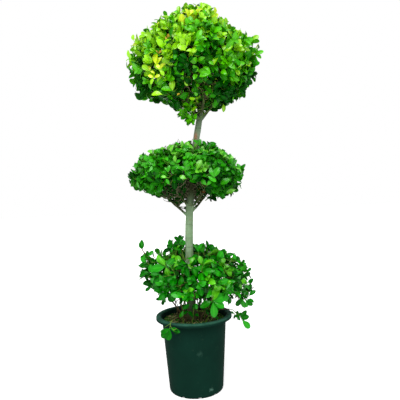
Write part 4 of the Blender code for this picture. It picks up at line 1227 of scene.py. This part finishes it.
old_wood = plain_material("old_twigs", (106, 98, 68), 0.8, 0.15)
shade_wood = plain_material("shaded_twigs", (98, 100, 72), 0.8, 0.15)
young_wood = plain_material("young_twigs", (92, 128, 40), 0.6, 0.2)
shoot_wood = plain_material("shoot_bark", (84, 72, 46), 0.75, 0.15)
for surface in (old_wood, shade_wood, shoot_wood):
    mottle(surface, (104, 104, 74), 60.0, 0.60, 0.10, 0.6)
low_stems = low_limbs + hanging_limbs + low_mains + low_older + under_stems
low_shoots = low_last + spray_twigs + hanging_twigs + bud_twigs["low"]
shoot_nodes = [f"shoot_{shoot.name}" for shoot in SHOOTS + TRAILERS]
for name, twigs, sides, surface, nodes in (
    ("top_twigs", top_older + top_spurs + top_shaded, 5, old_wood, []),
    ("middle_twigs", middle_older + middle_spurs + middle_shaded, 5, shade_wood, []),
    ("top_shoots", top_last + bud_twigs["top"], 5, young_wood, []),
    ("middle_shoots", middle_last + bud_twigs["middle"], 5, young_wood, []),
    ("low_stems", low_stems, 6, shoot_wood, shoot_nodes),
    ("low_shoots", low_shoots, 5, young_wood, []),
):
    settle(tubes(name, twigs, sides), "bark", surface, *nodes)

# %% [markdown]
# ## Leaves
# A leaf of this fig is a small glossy oval, widest beyond its middle, folded a little along its midrib,
# on a short stalk. It is worked out once as a table of rows, and then every leaf on the plant is
# placed by arrays: its root, the way it points, the way its upper side faces, and its own length,
# fold and curl. The upper side and the paler underside are two skins that meet at the leaf's edge.

# %% Leaf shape
# Each row across a leaf: how far along the leaf it lies, and its share of the widest row
LEAF_ROWS = [(0.09, 0.08), (0.24, 0.52), (0.43, 0.90), (0.62, 1.00), (0.81, 0.80), (0.94, 0.42)]
Leaf = namedtuple("Leaf", "root way facing length shade")
# A row's four corners: left edge, upper midrib, right edge and lower midrib
LEFT, UPPER, RIGHT, LOWER = range(4)
LEAF_CORNERS = 2 + 4 * len(LEAF_ROWS)


def leaf_faces():
    """Triangles of one leaf over its corners, first those of the upper skin and then the underside's."""
    firsts = range(1, LEAF_CORNERS - 1, 4)
    faces = []
    for middle in (UPPER, LOWER):
        skin = []
        for one, other in ((LEFT, middle), (middle, RIGHT)):
            skin.append((0, firsts[0] + other, firsts[0] + one))
            for a, b in zip(firsts, firsts[1:]):
                skin += [(a + one, a + other, b + other), (a + one, b + other, b + one)]
            skin.append((firsts[-1] + one, firsts[-1] + other, LEAF_CORNERS - 1))
        faces += skin if middle == UPPER else [face[::-1] for face in skin]
    return np.array(faces)


LEAF_FACES = leaf_faces()
LEAF_SKINS = np.repeat((0, 1), len(LEAF_FACES) // 2)
RIB = [1.0] + [0.0, 1.0, 0.0, 1.0] * len(LEAF_ROWS) + [0.3]
print("faces of one leaf:", len(LEAF_FACES))


# %% Many leaves in one mesh
def unit(rows):
    return rows / np.linalg.norm(rows, axis=1, keepdims=True)


def leaf_piece(name, leaves, upper, lower, seed):
    """One mesh of many leaves, with the upper material on one skin and the lower on the other."""
    dice = np.random.default_rng(seed)
    count = len(leaves)
    root, way, facing = (np.array([leaf[k] for leaf in leaves]) for k in range(3))
    way = unit(way)
    facing = unit(facing - way * np.sum(facing * way, axis=1, keepdims=True))
    beside = np.cross(facing, way)
    length = np.array([leaf.length for leaf in leaves])[:, None]
    half = length * dice.uniform(0.24, 0.31, (count, 1))
    fold = dice.uniform(0.06, 0.52, (count, 1))
    curl = dice.uniform(-0.06, 0.26, (count, 1))
    twist = dice.uniform(-0.22, 0.22, (count, 1))
    vertices = np.zeros((count, LEAF_CORNERS, 3))
    vertices[:, 0] = root
    for k, (share, width) in enumerate(LEAF_ROWS):
        lift = length * (0.10 * math.sin(math.pi * share) - curl * share**2)
        middle = root + way * length * share + facing * lift
        across = half * width
        for side, corner in ((-1, LEFT), (1, RIGHT)):
            turn = side * (twist * share)
            edge = beside * side * across * np.cos(fold) + facing * across * (np.sin(fold) + turn)
            vertices[:, 1 + 4 * k + corner] = middle + edge
        vertices[:, 1 + 4 * k + UPPER] = middle
        vertices[:, 1 + 4 * k + LOWER] = middle - facing * 0.0005
    vertices[:, -1] = root + way * length - facing * length * curl
    faces = LEAF_FACES[None] + (np.arange(count) * LEAF_CORNERS)[:, None, None]
    made = joined(name, vertices.reshape(-1, 3).tolist(), faces.reshape(-1, 3).tolist())
    made.data.materials.append(upper)
    made.data.materials.append(lower)
    made.data.polygons.foreach_set("material_index", np.tile(LEAF_SKINS, count))
    keep_numbers(made, "rib", np.tile(RIB, count))
    keep_numbers(made, "tone", np.repeat(dice.uniform(0, 1, count), LEAF_CORNERS))
    smooth(made, 70)
    return made


# %% [markdown]
# Leaves are set along the outer part of each last twig by the golden angle, and each tilts towards the
# twig's tip. Its upper side faces the tip of the twig and is drawn a little towards the sky. A leaf
# that would pass the outline or touch the trunk is skipped.


# %% Leaves along one twig
def place_leaves(twig, count, length, chance, inside, shade, first_share=0.30, spread=(0.74, 1.14)):
    """Leaves along one twig. shade is a number that grows from dark to bright, dealt out by twig; it holds
    painted light and shade as well as the leaves' own tones.
    """
    middle, _ = trunk_at(twig.points[-1].z)
    outward = twig.points[-1] - middle
    outward = (outward.normalized() * 0.45 if outward.length > 0.01 else Vector()) + UP * 0.30
    made = []
    start_turn = chance.uniform(0, math.tau)
    steps = len(twig.points) - 1
    for k in range(count):
        share = first_share + (1 - first_share) * k / max(1, count - 1)
        place = min(share * steps, steps - 1e-6)
        low = int(place)
        root = twig.points[low].lerp(twig.points[low + 1], place - low)
        along = twig.tangents[low]
        across = along.orthogonal().normalized()
        for attempt in range(3):
            side = around(along, across, start_turn + k * GOLDEN_ANGLE + attempt * 1.1)
            pitch = math.radians(66 - 36 * share + chance.uniform(-14, 14))
            way = along * math.cos(pitch) + side * math.sin(pitch)
            facing = along * math.sin(pitch) - side * math.cos(pitch) + outward
            size = length * chance.uniform(*spread) * (0.80 if share > 0.93 else 1.0)
            tip = root + way * size
            if inside(tip) and clear_of_trunk(tip) and clear_of_trunk(root + way * size * 0.5):
                made.append(Leaf(root, way, facing, size, shade + 0.26 * (share - 0.6)))
                break
    return made


def standout_leaves(tier, chance):
    """The leaves given one by one. Their upper sides face outwards and a little up, to the front."""
    made = []
    for bud, tips in standouts[tier]:
        for right, up, shade in tips:
            way = Vector((right, chance.uniform(-0.25, 0.05) * abs(right + up), up))
            facing = Vector((chance.uniform(-0.35, 0.35), -1, chance.uniform(0.0, 0.7)))
            made.append(Leaf(bud, way, facing, way.length, shade))
    return made


def uncrowded(kept, gap):
    """A test that a place isn't in front of or close to a leaf that stands out."""
    middles = [leaf.root + leaf.way * 0.5 for leaf in kept]

    def free(place):
        return all(
            (place.x - m.x) ** 2 + (place.z - m.z) ** 2 > gap * gap or place.y > m.y + 0.005 for m in middles
        )
    return free


# %% Leaves of the two heads
# Young growth stands in bright patches, partly painted light shining through the young leaves, and
# painted shade darkens the hollows: azimuth, climb and strength of each
TOP_GROWTH_AND_SHADE = [
    (231, -16, 0.85), (261, 4, 0.50), (258, 40, 0.42), (301, 64, 0.42), (212, 22, 0.50), (190, 10, 0.50),
    (160, 30, 0.42), (60, 35, 0.42), (100, 5, 0.42), (258, -20, -0.45), (300, -28, -0.30),
]
MIDDLE_GLOW = [
    (262, 12, 0.22), (300, 30, 0.22), (205, 20, 0.22), (340, 5, 0.22), (80, 15, 0.22), (130, 25, 0.22),
]


def glow(growth_and_shade, out):
    """How much brighter the leaves are in a direction, and darker where painted shade falls."""
    total = 0
    for azimuth, climb, strength in growth_and_shade:
        apart = math.degrees(out.angle(way_of(azimuth, climb)))
        total += strength * math.exp(-((apart / 13) ** 2))
    return total


def head_leaves(head, older, last, length, count, seed, growth_and_shade, open_front, kept):
    """Leaves of a clipped head. open_front is the width, as a share, of its sparse shaded front."""
    chance = random.Random(seed)
    within_outline, free = within(head, 1.0), uncrowded(kept, 0.024)

    def inside(place):
        return within_outline(place) and free(place) and (head is TOP_HEAD or beside_stem(place))

    made = list(kept)
    for twig in last:
        end = twig.points[-1]
        out = (end - head.heart).normalized()
        # Partly painted light: the shade rises to the top, front and left, where the key light falls
        shade = 0.50 * out.z - 0.04 * out.x - 0.06 * out.y + 0.30 * chance.uniform(-1, 1)
        broad, narrow = noise.noise(out * 2.4 + head.heart * 7), noise.noise(out * 6.5 + head.heart * 3)
        shade += 0.35 * broad + 0.45 * narrow
        shade += glow(growth_and_shade, out)
        leafy = count
        # The shaded front underneath bears fewer leaves, with a little painted shade
        if out.z < -0.08 and abs(out.x) < open_front:
            leafy = 5 if out.y < 0 else 6
            shade -= 0.06
        if head is TOP_HEAD and end.y < 0 and -0.03 < end.x < 0.13 and end.z < 1.33:
            leafy, shade = 2, chance.uniform(-0.75, 0.45)
        made += place_leaves(twig, leafy, length, chance, inside, shade)
    # Leaves inside on the older twigs are deep green: older leaves, and painted shade inside the head
    for twig in older[len(older) // 4:]:
        made += place_leaves(twig, 3, length, chance, inside, -0.9, 0.45)
    return made


chance = random.Random(9)
top_kept, middle_kept, low_kept = (standout_leaves(tier, chance) for tier in ("top", "middle", "low"))
top_leaves = head_leaves(TOP_HEAD, top_older, top_last, 0.044, 9, 7, TOP_GROWTH_AND_SHADE, 0.45, top_kept)
middle_leaves = head_leaves(
    MIDDLE_HEAD, middle_older, middle_last, 0.040, 8, 8, MIDDLE_GLOW, 0.60, middle_kept
)
# Small leaves in the shaded cones under the two heads, mostly dark: painted shade
for twig in middle_shaded:
    middle_leaves += place_leaves(twig, 2, 0.023, chance, above_boughs, chance.uniform(-1.1, -0.2), 0.6)
in_top = within(TOP_HEAD, 0.96)
for twig in top_shaded:
    top_leaves += place_leaves(twig, 2, 0.028, chance, in_top, chance.uniform(-0.8, 0.45), 0.5)
print("leaves of the heads:", len(top_leaves), len(middle_leaves))

# %% Leaves of the low tier and of the sprays
low_uncrowded = uncrowded(low_kept, 0.026)


def low_free(place):
    """Whether a place is clear of the leaves that stand out, of the gap over the rim and of the stem."""
    gap = -0.15 < place.x < -0.06 and place.y < 0 and place.z < 0.405
    gap = gap or (place.x < -0.145 and place.z < 0.44)
    before_stem = abs(place.x + 0.009) < 0.021 and place.y < 0 and place.z > 0.562
    return low_uncrowded(place) and not gap and not before_stem


low_leaves = list(low_kept)
for twig in low_last:
    # Leaves higher in the clump are brighter, partly painted light from above
    shade = 0.40 * (twig.points[-1].z - 0.47) / 0.15 + 0.50 * chance.uniform(-1, 1)
    low_leaves += place_leaves(twig, 7, 0.044, chance, low_free, shade, spread=(0.62, 1.20))
# The leaves on inner twigs and on the stems under the clump are dark: painted shade
# Twigs, then how many leaves each bears, their length and shade, and where on the twig they start
shaded = [(low_older, 4, 0.042, -0.8, 0.4), (under_stems, 4, 0.030, -0.7, 0.6)]
for twigs, count, length, shade, first_share in [*shaded, (hanging_twigs, 2, 0.030, -0.3, 0.6)]:
    for twig in twigs:
        low_leaves += place_leaves(twig, count, length, chance, low_free, shade, first_share)
leaves = {"top": top_leaves, "middle": middle_leaves, "low": low_leaves}
for spray, twig in zip(SPRAYS, spray_twigs):
    free = low_free if spray.tier == "low" else anywhere
    length = spray.length / 1000
    leaves[spray.tier] += place_leaves(twig, spray.leaves, length, chance, free, spray.shade)
print("leaves:", {tier: len(made) for tier, made in leaves.items()})

# %% [markdown]
# Young leaves at the top, on the sunny left, are yellow-green, and old leaves inside are deep green.
# The colours also carry painted light and shade: leaves are painted brighter on top and towards the
# lit front and left, and darker inside and under the heads. Each leaf keeps one plain colour, and the
# colours are dealt out by twig through the shade number, so that bright and dark sprays stand side by
# side as they do on the plant.


# %% Leaf finishes
def toned(colour, share):
    return tuple(share * c for c in colour)


def leaf_materials(name, colour, gloss):
    """A leaf's upper side, with a paler midrib, and its paler underside."""
    pale = tuple(0.82 * c + 0.18 * g for c, g in zip(colour, (160, 210, 110)))
    upper = plain_material(name, colour, 0.24, gloss)
    blend(upper, use_group(upper, leaf_tone), toned(colour, 0.76), 1.0)
    mottle(upper, toned(colour, 0.80), 30.0, 0.54, 0.16, 0.35)
    blend(upper, use_group(upper, midrib, Low=0.70), toned(pale, 1.12), 0.5)
    lower = plain_material(name + "_underside", pale, 0.6, gloss * 0.7)
    blend(lower, use_group(lower, leaf_tone), toned(pale, 0.80), 1.0)
    return upper, lower


# Name, lowest shade number, colour and gloss of each kind of leaf. The darker kinds stand partly for
# painted shade and the brighter ones partly for painted light
LEAF_KINDS = {
    "top": [
        ("deep", -9.0, (4, 84, 0), 0.06), ("green", -0.30, (42, 150, 0), 0.09),
        ("fresh", -0.04, (86, 198, 0), 0.27), ("lime", 0.32, (158, 234, 14), 0.38),
        ("golden", 0.82, (212, 238, 24), 0.38), ("russet", 3.0, (222, 186, 58), 0.10),
    ],
    "middle": [
        ("deep", -9.0, (0, 68, 0), 0.05), ("green", -0.28, (26, 132, 0), 0.09),
        ("fresh", 0.08, (52, 172, 12), 0.26), ("lime", 0.46, (106, 202, 44), 0.36),
        ("russet", 3.0, (120, 66, 30), 0.08),
    ],
    "low": [
        ("deep", -9.0, (0, 70, 0), 0.05), ("green", -0.28, (4, 110, 0), 0.08),
        ("fresh", 0.10, (26, 154, 4), 0.22), ("lime", 0.45, (88, 192, 22), 0.28),
    ],
}


def deal_leaves(tier, slot_name, nodes, seed):
    """Sorts a tier's leaves into one piece for each shade. The green piece stands for the solids."""
    kinds = LEAF_KINDS[tier]
    brightest = [kind[1] for kind in kinds[1:]] + [9.0]
    for k, ((shade, low, colour, gloss), high) in enumerate(zip(kinds, brightest)):
        chosen = [leaf for leaf in leaves[tier] if low <= leaf.shade < high]
        surfaces = leaf_materials(f"{tier}_{shade}", colour, gloss)
        made = leaf_piece(f"{tier}_leaves_{shade}", chosen, *surfaces, seed + k)
        settle(made, slot_name, None, *(nodes if shade == "green" else ()))


deal_leaves("top", "top_leaves", ["top_head"], 11)
deal_leaves("middle", "middle_leaves", ["middle_head"], 21)
deal_leaves("low", "shoot_leaves", [f"leaves_{shoot.name}" for shoot in SHOOTS + TRAILERS], 31)

# %% [markdown]
# ## Stage, light and camera
# The plant stands on a plain pale floor under soft studio light: one wide soft key from above, nearly in
# line with the camera and a little to its left, and a bright even surround that fills the shadows. The
# floor has a faint glow that only the camera sees, so that it stays white. The camera stands 1.80 m away
# at 0.81 m height, which the two ellipses of the pot give, and is rolled by 2.3 degrees.

# %% Floor
# Colours here are in the linear values that shaders use
FLOOR_COLOUR = (0.93, 0.93, 0.93, 1)
WHITE = (1.0, 1.0, 1.0, 1)
FLOOR_GLOW = 0.32
# The floor lies a little under the pot, so that they don't share one plane
FLOOR_HEIGHT = -0.0005
take()
bpy.ops.mesh.primitive_plane_add(size=60, location=(0, 0, FLOOR_HEIGHT))
floor = bpy.context.object
floor.name = "floor"
paper = plain_material("pale_floor", (247, 247, 247), 0.9, 0.5)
seen = add_node(paper.node_tree, "LightPath").outputs["Is Camera Ray"]
shine = add_node(paper.node_tree, "Math", seen, FLOOR_GLOW, operation="MULTIPLY")
shader_inputs(paper)["Base Color"].default_value = FLOOR_COLOUR
shader_inputs(paper)["Emission Color"].default_value = WHITE
paper.node_tree.links.new(shine.outputs[0], shader_inputs(paper)["Emission Strength"])
floor.data.materials.append(paper)

# %% Lights
SURROUND = 0.68
KEY_PLACE = (-0.14, -1.9, 3.2)
KEY_TARGET = Vector((0, 0, 0.8))
KEY_STRENGTH = 2.9
# How wide the key looks from the plant, in degrees
KEY_WIDTH = 46
world = bpy.data.worlds.new("surround")
world.use_nodes = True
tree = world.node_tree
filling = tree.nodes["Background"]
filling.inputs["Color"].default_value = WHITE
filling.inputs["Strength"].default_value = SURROUND
backdrop = add_node(tree, "Background", WHITE, 1.0)
ray = add_node(tree, "LightPath")
choice = add_node(
    tree, "MixShader", ray.outputs["Is Camera Ray"], filling.outputs[0], backdrop.outputs[0]
)
tree.links.new(choice.outputs[0], tree.nodes["World Output"].inputs["Surface"])
bpy.context.scene.world = world

bpy.ops.object.light_add(type="SUN", location=KEY_PLACE)
key = bpy.context.object
key.name = "soft_key"
key.data.energy = KEY_STRENGTH
key.data.angle = math.radians(KEY_WIDTH)
key.rotation_mode = "QUATERNION"
key.rotation_quaternion = (KEY_TARGET - key.location).to_track_quat("-Z", "Y")
bpy.context.scene.view_settings.view_transform = "Standard"

# %% Camera
SENSOR_WIDTH = 36.0
# The focal length and the picture's width, both in the picture's pixels
FOCAL_LENGTH, PICTURE_WIDTH = 410, 400
CAMERA_PLACE = (0.0463, -1.7966, 0.8076)
# In degrees. A camera with no tilt looks straight down.
CAMERA_TILT, CAMERA_ROLL = 90.234, -2.263
camera_data = bpy.data.cameras.new("camera")
camera = bpy.data.objects.new("camera", camera_data)
bpy.context.scene.collection.objects.link(camera)
camera_data.sensor_width = SENSOR_WIDTH
camera_data.lens = SENSOR_WIDTH * FOCAL_LENGTH / PICTURE_WIDTH
camera.matrix_world = (
    Matrix.Translation(CAMERA_PLACE)
    @ Matrix.Rotation(math.radians(CAMERA_TILT), 4, "X")
    @ Matrix.Rotation(math.radians(CAMERA_ROLL), 4, "Z")
)
bpy.context.scene.camera = camera
print("lens:", round(camera_data.lens, 2), "mm")
